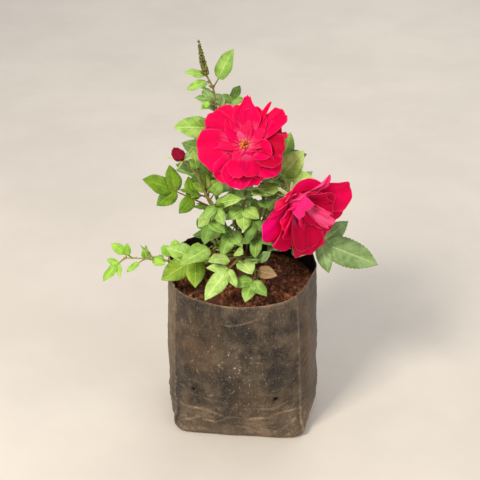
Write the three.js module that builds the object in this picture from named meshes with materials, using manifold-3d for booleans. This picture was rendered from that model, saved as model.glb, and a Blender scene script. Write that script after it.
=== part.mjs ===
// A young garden rose in the soft nursery bag it was raised in, in flower.
// Millimetres, +Z up. The origin is on the bag's flat underside, below the middle of its mouth,
// the bush leans and flowers towards -Y, and +X is to the right of a viewer who stands there.
import * as THREE from 'three';
import { mergeVertices } from 'three/addons/utils/BufferGeometryUtils.js';
import Module from 'manifold-3d';

const wasm = await Module();
wasm.setup();

// Driving dimensions

const gap = 0.3; // left between two pieces that touch

const bag = {
  film: 1,
  floor: 1.4,
  turn: -6, // degrees about the upright
  base: { x: 3, y: 1, half: 56, depth: 54, square: 8 },
  mouth: { x: 0, y: 1, half: 65, depth: 60, square: 2.5 },
  fullAt: 28, // the height at which the filled sides have reached their full width
  bulge: 1.5, // how far they stand out further between there and the mouth
  filledSquare: 3.2, // how square the full body is low down: 2 is round, more is squarer
  rimBack: 147,
  rimFront: 139,
  footRound: 3,
  segments: 32,
  holeRadius: 3,
};

const soil = { top: 130, edge: 127.5, slack: 0.5 };

const foot = {
  centre: [4, 8],
  lean: [-0.5, -1],
  heights: [0, 3, 7, 12],
  radii: [8, 6.4, 5.6, 4.8],
  sides: 8,
};

const stubLength = 12; // how much of each cane is one piece with the foot
const caneSides = 6;

const blade = {
  rows: [1, 0.76, 0.38, 0.08, 0],
  widths: [0, 0.72, 1, 0.17, 0],
  keel: [0, 0.6, 0.8, 0.9, 0], // how far the midrib stands out below
  bow: 0.16,
  sunk: 0.6,
};

const rachis = { startRadius: 0.75, endRadius: 0.5, steps: 3 };

// One leaf of a cane: how far up the cane it sits, where it points, how far its tip lies from the
// cane, its side pairs, and the length of its end leaflet
function leaf(at, heading, rise, reach, pairs, size, more = {}) {
  return { at, heading, rise, reach, pairs, size, width: 0.6, arch: 0.12, face: [262, 50], ...more };
}

// Some seeded leaves along a stretch of a cane: how many, the heading they keep round and how far
// they swing about it, and their rise, reach, side pairs and size
function spray([from, to], count, [heading, swing], rise, reach, pairs, size) {
  return { from, to, count, heading, swing, rise, reach, pairs, size };
}

// The canes, each with its line, its radii, where its bare wood ends, the leaves that show most
// and the seeded sprays that fill it all round
const canes = [
  {
    name: 'bud',
    line: [[2, 6.5, 138], [-8, 3, 165], [-22, -3, 199], [-29, -5, 215], [-38, -4, 236], [-47, -2, 246]],
    radii: [2.1, 1.1],
    bare: 0.42,
    leaves: [
      leaf(0.6, 190, 30, 67, 2, 26, { arch: 0, width: 0.62 }),
      leaf(0.66, 335, 55, 27, 0, 18, { face: [290, 45] }),
      leaf(0.62, 330, 17, 33, 0, 29, { width: 0.42 }),
      leaf(0.83, 165, 75, 28, 0, 16),
      leaf(0.56, 235, -22, 25, 0, 22, { face: [250, 25] }),
      leaf(0.47, 242, -25, 28, 0, 24, { face: [250, 25] }),
      leaf(0.58, 258, -32, 38, 1, 19, { arch: 0.3 }),
      leaf(0.7, 300, -30, 34, 1, 17, { arch: 0.3 }),
    ],
    sprays: [
      spray([0.5, 0.86], 3, [95, 90], 25, 44, 1, 21),
    ],
  },
  {
    name: 'upper',
    line: [[4, 7, 140], [-1, 6, 170], [2, 5, 204], [7, 10, 228], [6, 12, 244], [5, 8, 252]],
    radii: [2.3, 1.5],
    bare: 0.2,
    leaves: [
      leaf(0.62, 266, -32, 38, 1, 18, { width: 0.75, arch: 0.3 }),
      leaf(0.42, 242, -30, 40, 1, 20, { arch: 0.3 }),
      leaf(0.26, 312, -5, 34, 0, 20, { arch: 0.6 }),
      leaf(0.8, 42, 35, 46, 1, 24),
    ],
    sprays: [
      spray([0.4, 0.7], 2, [268, 70], 20, 30, 1, 16),
      spray([0.3, 0.86], 4, [95, 120], 20, 46, 1, 22),
    ],
  },
  {
    name: 'lower',
    line: [
      [6, 7, 140], [12, 4, 165], [15, 1, 185], [18, -1, 208],
      [27, -3, 233], [37, -8, 230.5], [41, -15, 224.5],
    ],
    radii: [2.1, 1.3],
    bare: 0.27,
    leaves: [
      leaf(0.55, 226, 29, 27, 0, 24, { width: 0.5 }),
      leaf(0.66, 245, 10, 26, 0, 22, { width: 0.65, face: [250, 45] }),
      leaf(0.54, 250, -32, 38, 1, 17, { arch: 0.3 }),
      leaf(0.42, 264, -30, 40, 1, 18, { arch: 0.3 }),
      leaf(0.4, 100, 30, 26, 0, 20),
    ],
    sprays: [
      spray([0.34, 0.72], 3, [60, 110], 25, 44, 1, 21),
    ],
  },
  {
    name: 'spike',
    line: [
      [2, 10, 140], [-5, 19, 180], [-10, 22, 222], [-16, 19, 262],
      [-21, 13, 290], [-23, 14, 305], [-30, 15, 320],
    ],
    radii: [1.9, 0.9],
    bare: 0.58,
    leaves: [
      leaf(0.92, 0, 60, 37, 0, 27, { width: 0.52, arch: 0 }),
      leaf(0.955, 205, -18, 22, 0, 19, { width: 0.42 }),
      leaf(0.985, 197, 5, 19, 0, 16, { width: 0.46 }),
      leaf(0.7, 198, -13, 42, 0, 32, { width: 0.62, arch: 0.35 }),
      leaf(0.72, 205, 12, 22, 0, 16),
      leaf(0.87, 202, -33, 15, 0, 9),
    ],
    sprays: [spray([0.6, 0.84], 3, [70, 130], 20, 38, 1, 18)],
  },
  {
    name: 'right',
    line: [[7, 10, 140], [18, 13, 172], [28, 12, 205], [34, 9, 229]],
    radii: [1.9, 1],
    bare: 0.5,
    leaves: [
      leaf(0.98, 347, 49, 35, 0, 31, { width: 0.66, arch: 0, face: [262, 30] }),
      leaf(0.93, 330, 8, 34, 0, 29, { width: 0.5 }),
    ],
    sprays: [spray([0.55, 0.9], 3, [50, 100], 15, 42, 1, 21)],
  },
  {
    name: 'backLeft',
    line: [[1, 12, 140], [-14, 30, 170], [-26, 43, 205], [-31, 48, 228]],
    radii: [1.9, 0.9],
    bare: 0.36,
    leaves: [leaf(0.97, 110, 60, 34, 1, 24, { arch: 0 })],
    sprays: [spray([0.4, 0.9], 4, [110, 150], 15, 46, 2, 21)],
  },
  {
    name: 'backRight',
    line: [[7, 12, 140], [18, 30, 170], [29, 41, 200], [36, 46, 222]],
    radii: [1.9, 0.9],
    bare: 0.36,
    leaves: [leaf(0.97, 50, 60, 32, 1, 23, { arch: 0 })],
    sprays: [spray([0.4, 0.9], 4, [60, 150], 15, 46, 2, 21)],
  },
  {
    name: 'lowRight',
    line: [[7, 6, 140], [28, 2, 160], [52, -4, 176]],
    radii: [1.5, 1],
    bare: 0,
    leaves: [
      leaf(0.98, 345, -31, 74, 1, 52, { width: 0.5, arch: 0.3, face: [235, 40], side: 0.62 }),
      leaf(0.6, 322, 4, 34, 0, 18, { width: 0.8 }),
    ],
    sprays: [spray([0.45, 0.8], 2, [30, 60], 20, 40, 1, 20)],
  },
  {
    name: 'left',
    line: [[0, 6, 140], [-14, 5, 148], [-36, 0, 152], [-64, -6, 153.5], [-84, -10, 158], [-102, -14, 161]],
    radii: [1.4, 0.8],
    bare: 0,
    leaves: [
      leaf(0.985, 187, -48, 30, 1, 20, { width: 0.44, side: 0.7 }),
      leaf(0.98, 350, 77, 15, 0, 12, { face: [262, 20] }),
      leaf(0.93, 160, 25, 22, 0, 14),
      leaf(0.82, 195, -37, 21, 0, 14, { width: 0.42 }),
      leaf(0.8, 215, 65, 12, 0, 9, { width: 0.8 }),
      leaf(0.78, 334, -15, 15, 0, 12),
    ],
    sprays: [spray([0.35, 0.7], 2, [110, 60], 15, 26, 0, 17)],
  },
  {
    name: 'lowLeft',
    line: [[2, 5, 141], [-8, -2, 156], [-20, -9, 169], [-26, -14, 172]],
    radii: [1.5, 1],
    bare: 0,
    leaves: [
      leaf(0.8, 203, -20, 57, 1, 29, { width: 0.62, arch: 0.05 }),
      leaf(0.95, 223, -8, 38, 0, 33, { width: 0.48, arch: 0.05 }),
      leaf(0.7, 285, 16, 29, 1, 14),
      leaf(0.6, 295, 22, 39, 0, 15),
    ],
    sprays: [spray([0.5, 0.9], 2, [150, 60], 10, 40, 1, 21)],
  },
  {
    name: 'front',
    line: [[4, 3, 142], [3, -10, 158], [-2, -24, 166], [-6, -34, 166]],
    radii: [1.5, 1],
    bare: 0,
    leaves: [
      leaf(0.95, 228, -30, 47, 1, 35, { width: 0.46, side: 0.6 }),
      leaf(0.7, 221, 9, 39, 0, 25, { width: 0.5, face: [262, 60] }),
      leaf(0.75, 290, -7, 29, 0, 18, { width: 0.75 }),
      leaf(0.45, 318, 35, 35, 0, 24, { width: 0.42, face: [280, 60] }),
      leaf(0.4, 250, 38, 30, 0, 18, { arch: 0.6 }),
    ],
    sprays: [],
  },
  {
    name: 'frontRight',
    line: [[6, 3, 142], [9, -14, 160], [11, -28, 162], [12, -38, 154]],
    radii: [1.4, 0.9],
    bare: 0,
    leaves: [
      leaf(0.97, 245, -32, 27, 1, 20),
      leaf(0.75, 352, 38, 20, 0, 14),
      leaf(0.85, 250, 40, 18, 0, 13),
      leaf(0.85, 325, -7, 22, 0, 18),
    ],
    sprays: [spray([0.5, 0.7], 1, [10, 30], 20, 36, 1, 18)],
  },
  {
    name: 'rear',
    line: [[4, 12, 141], [5, 24, 155], [4, 40, 163], [3, 52, 163]],
    radii: [1.5, 0.9],
    bare: 0,
    leaves: [leaf(0.97, 95, -15, 42, 1, 27)],
    sprays: [spray([0.4, 0.85], 4, [90, 180], 5, 42, 1, 20)],
  },
];

const sprayTurn = 137.5; // degrees round the cane from one leaf of a spray to the next

const sepal = { count: 5, length: 15, width: 0.26, hipRadius: 3.4, hipLength: 6.5 };

// Each bloom: the cane that carries it, the way it faces, and its rings of petals.
// A petal opens from the first angle at its root to the second at its edge.
const blooms = [
  {
    name: 'bloom_upper',
    cane: 'upper',
    heading: 267,
    rise: 30,
    scale: 1.13,
  },
  {
    name: 'bloom_lower',
    cane: 'lower',
    heading: 298,
    rise: -2,
    scale: 1.17,
  },
];

const petalRings = [
  { count: 6, length: 38, width: 38, opens: [40, 102], phase: 12, across: 3, along: 3, seat: [2.6, 2.1] },
  { count: 5, length: 32, width: 31, opens: [26, 84], phase: 40, across: 2, along: 3, seat: [2, 3.2] },
  { count: 5, length: 21, width: 18, opens: [12, 60], phase: 4, across: 2, along: 2, seat: [1.2, 5] },
];

const petal = { thickness: 0.9, cup: 0.12, roll: 9, rounding: 0.2, claw: 0.05, wedge: 2.2 };

const bloomBase = { radius: 3.6, topRadius: 2.2, height: 7, sides: 6 };

const rosebud = { radius: 5.6, length: 13 };

const seedSpike = { radius: 2.3, length: 29, beads: 9, heading: 184, rise: 80 };

// Small helpers

const radians = THREE.MathUtils.degToRad;

// The same draws every time, from 0 up to 1
function seeded(seed) {
  let state = seed;
  return () => {
    state = (state * 48271) % 2147483647;
    return state / 2147483647;
  };
}

function direction(heading, rise) {
  const flat = Math.cos(radians(rise));
  return new THREE.Vector3(
    flat * Math.cos(radians(heading)),
    flat * Math.sin(radians(heading)),
    Math.sin(radians(rise)),
  );
}

function squaredTo(vector, axis) {
  return vector.clone().addScaledVector(axis, -vector.dot(axis)).normalize();
}

// The turn that takes a geometry's own +Y to a direction
function uprightTo(axis) {
  return new THREE.Quaternion().setFromUnitVectors(new THREE.Vector3(0, 1, 0), axis);
}

function reshape(geometry, place) {
  const position = geometry.attributes.position;
  for (let k = 0; k < position.count; k += 1) {
    const point = place(position.getX(k), position.getY(k), position.getZ(k));
    position.setXYZ(k, point.x, point.y, point.z);
  }
  return geometry;
}

// A closed geometry as a solid: its shared vertices joined and its empty faces dropped
function toSolid(geometry) {
  const bare = geometry.clone();
  bare.deleteAttribute('normal');
  bare.deleteAttribute('uv');
  const merged = mergeVertices(bare, 1e-4);
  const corners = merged.index.array;
  const faces = [];
  for (let k = 0; k < corners.length; k += 3) {
    const [a, b, c] = [corners[k], corners[k + 1], corners[k + 2]];
    if (a !== b && b !== c && c !== a) {
      faces.push(a, b, c);
    }
  }
  const mesh = new wasm.Mesh({
    numProp: 3,
    vertProperties: new Float32Array(merged.attributes.position.array),
    triVerts: new Uint32Array(faces),
  });
  return new wasm.Manifold(mesh);
}

function toGeometry(solid) {
  const mesh = solid.getMesh();
  const geometry = new THREE.BufferGeometry();
  geometry.setAttribute('position', new THREE.BufferAttribute(mesh.vertProperties, 3));
  geometry.setIndex(new THREE.BufferAttribute(mesh.triVerts, 1));
  return geometry;
}

// The one body of a join: sealed hollows are filled and loose scraps dropped
function oneBody(solid) {
  const parts = solid.simplify(0.02).decompose();
  return parts.reduce((best, part) => (part.volume() > best.volume() ? part : best));
}

// Limbs: a cylinder bent along a curve, tapering, with flat ends

function stations(curve, from, to, steps) {
  const list = [];
  let normal = new THREE.Vector3(1, 0.3, 0.2);
  for (let k = 0; k <= steps; k += 1) {
    const at = Math.min(1, from + ((to - from) * k) / steps);
    const tangent = curve.getTangentAt(at);
    normal = squaredTo(normal, tangent);
    list.push({ centre: curve.getPointAt(at), normal, side: normal.clone().cross(tangent) });
  }
  return list;
}

function limb(curve, from, to, radii, sides, steps) {
  const rows = stations(curve, from, to, steps);
  return reshape(new THREE.CylinderGeometry(1, 1, 1, sides, steps), (x, y, z) => {
    const t = y + 0.5;
    const row = rows[Math.round(t * steps)];
    const radius = THREE.MathUtils.lerp(radii[0], radii[1], t);
    return row.centre.clone().addScaledVector(row.normal, x * radius).addScaledVector(row.side, z * radius);
  });
}

function curveOf(cane) {
  const points = cane.line.map((point) => new THREE.Vector3(...point));
  return new THREE.CatmullRomCurve3(points, false, 'catmullrom', 0.5);
}

// The stretch of a cane from one distance to another, with the cane's own taper
function caneLimb(cane, from, to, sides) {
  const curve = curveOf(cane);
  const length = curve.getLength();
  const taper = (at) => THREE.MathUtils.lerp(cane.radii[0], cane.radii[1], at);
  const [start, end] = [from / length, to / length];
  const steps = Math.max(1, Math.round((to - from) / 10));
  return limb(curve, start, end, [taper(start), taper(end)], sides, steps);
}

// Leaflets: a thin blade with its midrib standing out below and a pointed root that is sunk in

const bladeCorners = [[-1, 0.25], [1, 0.25], [0, -0.75], [-1, 0.25]];

// A point of a blade's skin: its row, tip first, its corner, and how far it is blown up
function bladePoint({ root, along, face, size, width }, row, corner, margin) {
  const [across, up] = bladeCorners[corner];
  const side = along.clone().cross(face);
  const t = blade.rows[row];
  const extra = blade.widths[row] > 0 ? margin : 0;
  const half = (blade.widths[row] * size * width) / 2 + 2 * extra;
  const lift = size * blade.bow * (t - t * t) + (blade.keel[row] + 3 * extra) * up;
  return root.clone()
    .addScaledVector(along, size * t + margin * (2 * t - 1))
    .addScaledVector(side, half * across)
    .addScaledVector(face, lift);
}

function leaflet(one, margin = 0) {
  let vertex = -1;
  return reshape(new THREE.SphereGeometry(1, 3, blade.rows.length - 1), () => {
    vertex += 1;
    return bladePoint(one, Math.floor(vertex / 4), vertex % 4, margin);
  });
}

// The end leaflet in one skin with its stalk, which runs back along the leaf's curve to the cane
function stalkedLeaflet(one, curve, stalk, margin = 0) {
  const bladeRows = blade.rows.length - 1;
  const rows = bladeRows + rachis.steps;
  let vertex = -1;
  return reshape(new THREE.SphereGeometry(1, 3, rows), () => {
    vertex += 1;
    const [row, corner] = [Math.floor(vertex / 4), vertex % 4];
    if (row < bladeRows) {
      return bladePoint(one, row, corner, margin);
    }
    const back = (row - bladeRows) / rachis.steps;
    const at = stalk * (1 - back);
    const line = curve.getTangentAt(at);
    const face = squaredTo(one.face, line);
    const [across, up] = bladeCorners[corner];
    const full = THREE.MathUtils.lerp(rachis.endRadius, rachis.startRadius, back) + 2 * margin;
    const radius = row === rows ? 0 : full;
    return curve.getPointAt(at)
      .addScaledVector(line.clone().cross(face), radius * across)
      .addScaledVector(face, radius * (up * 1.7 + 0.3));
  });
}

// Where the leaflets of one leaf sit and point: the end one, then the side pairs
function leafletsOf(cane, stem, one, random) {
  const base = stem.getPointAt(one.at);
  const tip = base.clone().addScaledVector(direction(one.heading, one.rise), one.reach);
  const middle = base.clone().add(tip).multiplyScalar(0.5);
  middle.z += one.arch * one.reach;
  const curve = new THREE.QuadraticBezierCurve3(base, middle, tip);
  const stalk = 1 - one.size / one.reach;
  const upward = direction(...one.face);
  const list = [];
  const add = (at, spread, size) => {
    const line = curve.getTangentAt(at);
    const face = squaredTo(upward, line);
    const side = line.clone().cross(face);
    const angle = radians(spread + 10 * (random() - 0.5));
    const tilt = radians(24 * (random() - 0.5));
    const length = size * (0.93 + 0.14 * random());
    const along = line.clone().multiplyScalar(Math.cos(angle)).addScaledVector(side, Math.sin(angle));
    const turned = squaredTo(face.clone().addScaledVector(side, Math.tan(tilt)), along);
    const root = curve.getPointAt(at).addScaledVector(along, -blade.sunk);
    list.push({ root, along, face: turned, size: length + blade.sunk, width: one.width });
  };
  add(stalk, 0, one.size);
  for (let pair = 0; pair < one.pairs; pair += 1) {
    const at = stalk * (one.pairs > 1 ? 0.9 - 0.4 * pair : 0.82);
    const size = one.size * (0.9 - 0.14 * pair) * (one.side ?? 1);
    add(at, 58 + 8 * pair, size);
    add(at, -58 - 8 * pair, size);
  }
  return { curve, stalk, list };
}

function sprayLeaves(group, random) {
  return Array.from({ length: group.count }, (unused, k) => {
    const at = group.from + ((group.to - group.from) * (k + 0.5)) / group.count;
    const turn = ((k * sprayTurn) % 360) / 360 - 0.5;
    const heading = group.heading + group.swing * turn + 16 * (random() - 0.5);
    const rise = group.rise + 30 * (random() - 0.5);
    const reach = group.reach * (0.85 + 0.3 * random());
    const size = group.size * (0.85 + 0.3 * random());
    const width = 0.56 + 0.1 * random();
    return leaf(at, heading, rise, reach, group.pairs, size, { face: [heading, 50], width });
  });
}

// What is already in its place, and whether a new piece keeps clear of it

const settled = [];

function settle(solid, cane, one) {
  settled.push({ solid, limits: solid.boundingBox(), cane, one });
}

function touches(box, other) {
  return [0, 1, 2].every((k) => box.min[k] <= other.max[k] && other.min[k] <= box.max[k]);
}

// A leaf may meet its own leaflets and the wood of its own cane, and nothing else
function isClear(geometry, cane, one) {
  const reserve = toSolid(geometry);
  const box = reserve.boundingBox();
  return settled.every((other) => {
    const joined = other.cane === cane && (other.one === undefined || other.one === one);
    return joined || !touches(box, other.limits) || reserve.intersect(other.solid).isEmpty();
  });
}

// The bag and the soil in it

function plan(angle, z) {
  const turned = angle - radians(bag.turn);
  const mix = 1 - (1 - Math.min(1, z / bag.fullAt)) ** 2;
  const level = z / bag.rimBack;
  const half = THREE.MathUtils.lerp(bag.base.half, bag.mouth.half, mix);
  const depth = THREE.MathUtils.lerp(bag.base.depth, bag.mouth.depth, mix);
  const filled = THREE.MathUtils.lerp(bag.filledSquare, bag.mouth.square, level);
  const square = THREE.MathUtils.lerp(bag.base.square, filled, mix);
  const across = (Math.abs(Math.cos(turned)) / half) ** square;
  const back = (Math.abs(Math.sin(turned)) / depth) ** square;
  return (across + back) ** (-1 / square) + bag.bulge * Math.sin(Math.PI * level);
}

function rimHeight(angle) {
  const front = Math.max(0, -Math.sin(angle)) ** 1.5;
  return THREE.MathUtils.lerp(bag.rimBack, bag.rimFront, front);
}

// A lathe shape in the bag's plan: each point has its share of the outer radius, how far inside
// that it lies, and its height
function turnedInBag(profile) {
  const points = profile.map((point) => new THREE.Vector2(point.share, point.z));
  const geometry = new THREE.LatheGeometry(points, bag.segments).rotateX(Math.PI / 2);
  const rows = profile.length;
  let vertex = -1;
  return reshape(geometry, (x, y, z) => {
    vertex += 1;
    const { share, inset } = profile[vertex % rows];
    const angle = Math.atan2(y, x);
    const mix = z / bag.rimBack;
    const radius = share === 0 ? 0 : share * plan(angle, z) - inset;
    const lift = THREE.MathUtils.clamp((z - soil.top) / (bag.rimBack - soil.top), 0, 1);
    return new THREE.Vector3(
      THREE.MathUtils.lerp(bag.base.x, bag.mouth.x, mix) + radius * Math.cos(angle),
      THREE.MathUtils.lerp(bag.base.y, bag.mouth.y, mix) + radius * Math.sin(angle),
      z + lift * (rimHeight(angle) - bag.rimBack),
    );
  });
}

const wallHeights = [14, 28, 62, 98];

// The outside of the bag, or with an inset the space inside its film up to past the rim
function bagSpace(inset, floor) {
  const rim = inset > 0 ? bag.rimBack + 3 : bag.rimBack;
  return toSolid(turnedInBag([
    { share: 0, inset: 0, z: floor },
    { share: 1, inset: bag.footRound + inset, z: floor },
    { share: 1, inset, z: bag.footRound + 1 },
    ...wallHeights.map((z) => ({ share: 1, inset, z })),
    { share: 1, inset, z: soil.top },
    { share: 1, inset, z: rim },
    { share: 0, inset: 0, z: rim },
  ]));
}

// Small punched holes low in the sides, where water drains: the way each one faces and its height
const drainHoles = [[230, 50], [295, 45], [0, 75], [3, 60], [180, 62], [48, 52], [118, 46]];

function withDrainHoles(solid) {
  return drainHoles.reduce((whole, [heading, z]) => {
    const reach = plan(radians(heading), z);
    const geometry = new THREE.CylinderGeometry(bag.holeRadius, bag.holeRadius, 12, 7);
    geometry.rotateZ(Math.PI / 2).translate(reach, 0, z).rotateZ(radians(heading));
    return whole.subtract(toSolid(geometry));
  }, solid);
}

function soilGeometry() {
  const inset = bag.film + soil.slack;
  const floor = bag.floor + gap;
  return turnedInBag([
    { share: 0, inset: 0, z: floor },
    { share: 1, inset: bag.footRound + inset, z: floor },
    { share: 1, inset, z: bag.footRound + 1 },
    ...wallHeights.map((z) => ({ share: 1, inset, z })),
    { share: 1, inset, z: soil.edge },
    { share: 0.86, inset, z: soil.top - 1.2 },
    { share: 0.55, inset, z: soil.top - 0.2 },
    { share: 0.2, inset: 0, z: soil.top },
    { share: 0, inset: 0, z: soil.top },
  ]);
}

// The woody foot that all canes rise from, cut flat at the soil

function footSolid() {
  const last = foot.heights.length - 1;
  const geometry = new THREE.CylinderGeometry(1, 1, 1, foot.sides, last);
  reshape(geometry, (x, y, z) => {
    const row = Math.round((y + 0.5) * last);
    const rise = foot.heights[row];
    const t = rise / foot.heights[last];
    return new THREE.Vector3(
      foot.centre[0] + foot.lean[0] * t + x * foot.radii[row],
      foot.centre[1] + foot.lean[1] * t - z * foot.radii[row],
      soil.top + gap + rise,
    );
  });
  const stubs = canes.map((cane) => toSolid(caneLimb(cane, 0, stubLength, caneSides)));
  return oneBody(stubs.reduce((whole, stub) => whole.add(stub), toSolid(geometry)));
}

const bareEnd = (cane) => curveOf(cane).getLength() * cane.bare;

function boughGeometry(cane) {
  return caneLimb(cane, stubLength + gap, bareEnd(cane), caneSides);
}

// The green hip below a flower or bud, with its sepals spread under the petals

function hip(stem, size) {
  const end = stem.getPointAt(1);
  const axis = stem.getTangentAt(1);
  const geometry = new THREE.CylinderGeometry(sepal.hipRadius * size, 1.2, sepal.hipLength * size, 8, 1);
  geometry.translate(0, (sepal.hipLength * size) / 2 - 1, 0);
  geometry.applyQuaternion(uprightTo(axis));
  geometry.translate(end.x, end.y, end.z);
  return toSolid(geometry);
}

function hipTop(stem, size) {
  return stem.getPointAt(1).addScaledVector(stem.getTangentAt(1), sepal.hipLength * size - 1);
}

// The five sepals leave the hip's shoulder: flat under an open flower, apart round a bud
function sepals(stem, axis, size, open) {
  const top = hipTop(stem, size);
  const aside = squaredTo(new THREE.Vector3(0, 0, 1), axis);
  return Array.from({ length: sepal.count }, (unused, k) => {
    const out = aside.clone().applyAxisAngle(axis, (k * 2 * Math.PI) / sepal.count);
    const along = out.clone()
      .multiplyScalar(Math.sin(radians(open)))
      .addScaledVector(axis, Math.cos(radians(open)));
    const face = squaredTo(axis, along);
    const root = top.clone().addScaledVector(out, 1.2 * size).addScaledVector(axis, -1.2 * size);
    return { root, along, face, size: sepal.length * size, width: sepal.width };
  });
}

// Foliage: the leafy end of a cane with all its leaves fused on

const carries = {
  upper: { size: 1, open: 121 },
  lower: { size: 1, open: 128 },
  bud: { size: 0.62, open: 70 },
};

function leafyStem(cane) {
  const stem = curveOf(cane);
  const start = cane.bare > 0 ? bareEnd(cane) + gap : stubLength + gap;
  let whole = toSolid(caneLimb(cane, start, stem.getLength(), caneSides));
  const carried = carries[cane.name];
  if (carried) {
    whole = whole.add(hip(stem, carried.size));
    for (const one of sepals(stem, stem.getTangentAt(1), carried.size, carried.open)) {
      whole = whole.add(toSolid(leaflet(one)));
    }
  }
  return whole;
}

// The leaves of a cane that find room, each with those of its leaflets that do
function leavesThatFit(cane, leaves, random) {
  const stem = curveOf(cane);
  const found = [];
  for (const one of leaves) {
    const { curve, stalk, list } = leafletsOf(cane, stem, one, random);
    const [end, ...sides] = list;
    if (isClear(stalkedLeaflet(end, curve, stalk, gap), cane, one)) {
      const fitting = sides.filter((single) => isClear(leaflet(single, gap), cane, one));
      const shapes = [stalkedLeaflet(end, curve, stalk), ...fitting.map((single) => leaflet(single))];
      const solids = shapes.map(toSolid);
      solids.forEach((solid) => settle(solid, cane, one));
      found.push(...solids);
    }
  }
  return found;
}

// Flowers

// Radius and height above the root, and the angle, along a petal that opens as it goes
function petalLine(start, length, opens) {
  const steps = 24;
  const line = [{ radius: start, height: 0, angle: radians(opens[0]) }];
  for (let k = 1; k <= steps; k += 1) {
    const angle = radians(THREE.MathUtils.lerp(opens[0], opens[1], ((k - 0.5) / steps) ** 1.2));
    const last = line[k - 1];
    line.push({
      radius: last.radius + (length / steps) * Math.sin(angle),
      height: last.height + (length / steps) * Math.cos(angle),
      angle,
    });
  }
  return (t) => line[Math.round(t * steps)];
}

function petalGeometry({ root, axis, out, start, length, width, opens, across, along }) {
  const at = petalLine(start, length, opens);
  const side = out.clone().cross(axis);
  return reshape(new THREE.BoxGeometry(2, 1, 1, across, along, 1), (x, y, z) => {
    const t = y + 0.5;
    const grown = Math.sin((Math.PI / 2) * Math.min(1, t * 1.3)) ** petal.wedge;
    const spread = petal.claw + (1 - petal.claw) * grown;
    const half = (width / 2) * spread;
    const { radius, height, angle } = at(t * (1 - petal.rounding * x * x * t));
    const lift = half * (petal.cup * x * x + Math.tan(radians(petal.roll)) * x) + z * petal.thickness;
    return root.clone()
      .addScaledVector(out, radius - Math.cos(angle) * lift)
      .addScaledVector(axis, height + Math.sin(angle) * lift)
      .addScaledVector(side, half * x);
  });
}

function bloomSolid(bloom, index) {
  const cane = canes.find((one) => one.name === bloom.cane);
  const stem = curveOf(cane);
  const axis = direction(bloom.heading, bloom.rise);
  const base = hipTop(stem, 1).addScaledVector(stem.getTangentAt(1), gap);
  const random = seeded(4001 + index);
  const aside = squaredTo(new THREE.Vector3(0, 0, 1), axis);
  const { radius, topRadius, height, sides } = bloomBase;
  const boss = new THREE.CylinderGeometry(topRadius, radius, height, sides).translate(0, height / 2, 0);
  boss.applyQuaternion(uprightTo(stem.getTangentAt(1)));
  boss.translate(base.x, base.y, base.z);
  let whole = toSolid(boss);
  for (const ring of petalRings) {
    const root = base.clone().addScaledVector(stem.getTangentAt(1), ring.seat[1]);
    for (let k = 0; k < ring.count; k += 1) {
      const turn = radians(ring.phase + (360 * k) / ring.count + 14 * (random() - 0.5));
      const size = bloom.scale * (0.94 + 0.12 * random());
      const opened = 12 * (random() - 0.5);
      whole = whole.add(toSolid(petalGeometry({
        root,
        axis,
        out: aside.clone().applyAxisAngle(axis, turn),
        start: ring.seat[0],
        length: ring.length * size,
        width: ring.width * size,
        opens: [ring.opens[0] + opened / 2, ring.opens[1] + opened],
        across: ring.across,
        along: ring.along,
      })));
    }
  }
  return oneBody(whole);
}

// A lathe shape stood on a cane's end and turned to where it points
function turnedOn(profile, segments, base, axis) {
  const points = profile.map(([radius, rise]) => new THREE.Vector2(radius, rise));
  const geometry = new THREE.LatheGeometry(points, segments);
  geometry.applyQuaternion(uprightTo(axis));
  geometry.translate(base.x, base.y, base.z);
  return toSolid(geometry);
}

function budSolid() {
  const stem = curveOf(canes.find((one) => one.name === 'bud'));
  const axis = stem.getTangentAt(1);
  const base = hipTop(stem, carries.bud.size).addScaledVector(axis, gap);
  const { radius, length } = rosebud;
  const profile = [
    [0, 0], [radius * 0.36, 0], [radius * 0.92, length * 0.22], [radius, length * 0.45],
    [radius * 0.8, length * 0.75], [radius * 0.36, length * 0.94], [0, length],
  ];
  return turnedOn(profile, 12, base, axis);
}

function seedSpikeSolid() {
  const stem = curveOf(canes.find((one) => one.name === 'spike'));
  const base = stem.getPointAt(1).addScaledVector(stem.getTangentAt(1), gap);
  const profile = [[0, 0]];
  for (let k = 0; k < seedSpike.beads; k += 1) {
    const low = (k / seedSpike.beads) * seedSpike.length;
    const size = seedSpike.radius * (1 - 0.75 * (k / seedSpike.beads) ** 1.3);
    profile.push([size * 0.72, low], [size, low + (0.5 * seedSpike.length) / seedSpike.beads]);
  }
  profile.push([0, seedSpike.length]);
  return turnedOn(profile, 7, base, direction(seedSpike.heading, seedSpike.rise));
}

// Materials, one for each kind of surface

const looks = {
  film: { color: 0x4b443e, roughness: 0.62, metalness: 0 },
  soil: { color: 0x6e3728, roughness: 0.95, metalness: 0 },
  wood: { color: 0x6f5a38, roughness: 0.8, metalness: 0 },
  green: { color: 0x7f9a4a, roughness: 0.6, metalness: 0 },
  foliage: { color: 0x5f9a3c, roughness: 0.5, metalness: 0 },
  shoot: { color: 0x7fc04a, roughness: 0.5, metalness: 0 },
  petals: { color: 0xe00a58, roughness: 0.55, metalness: 0 },
  budRed: { color: 0x8a0f38, roughness: 0.5, metalness: 0 },
  seeds: { color: 0x77702c, roughness: 0.85, metalness: 0 },
};

const bush = new THREE.Group();

function addPiece(name, look, solid) {
  const material = new THREE.MeshStandardMaterial({ ...looks[look], flatShading: true });
  const mesh = new THREE.Mesh(toGeometry(solid), material);
  mesh.name = name;
  bush.add(mesh);
}

function addSettled(name, look, solid) {
  settle(solid);
  addPiece(name, look, solid);
}

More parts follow.
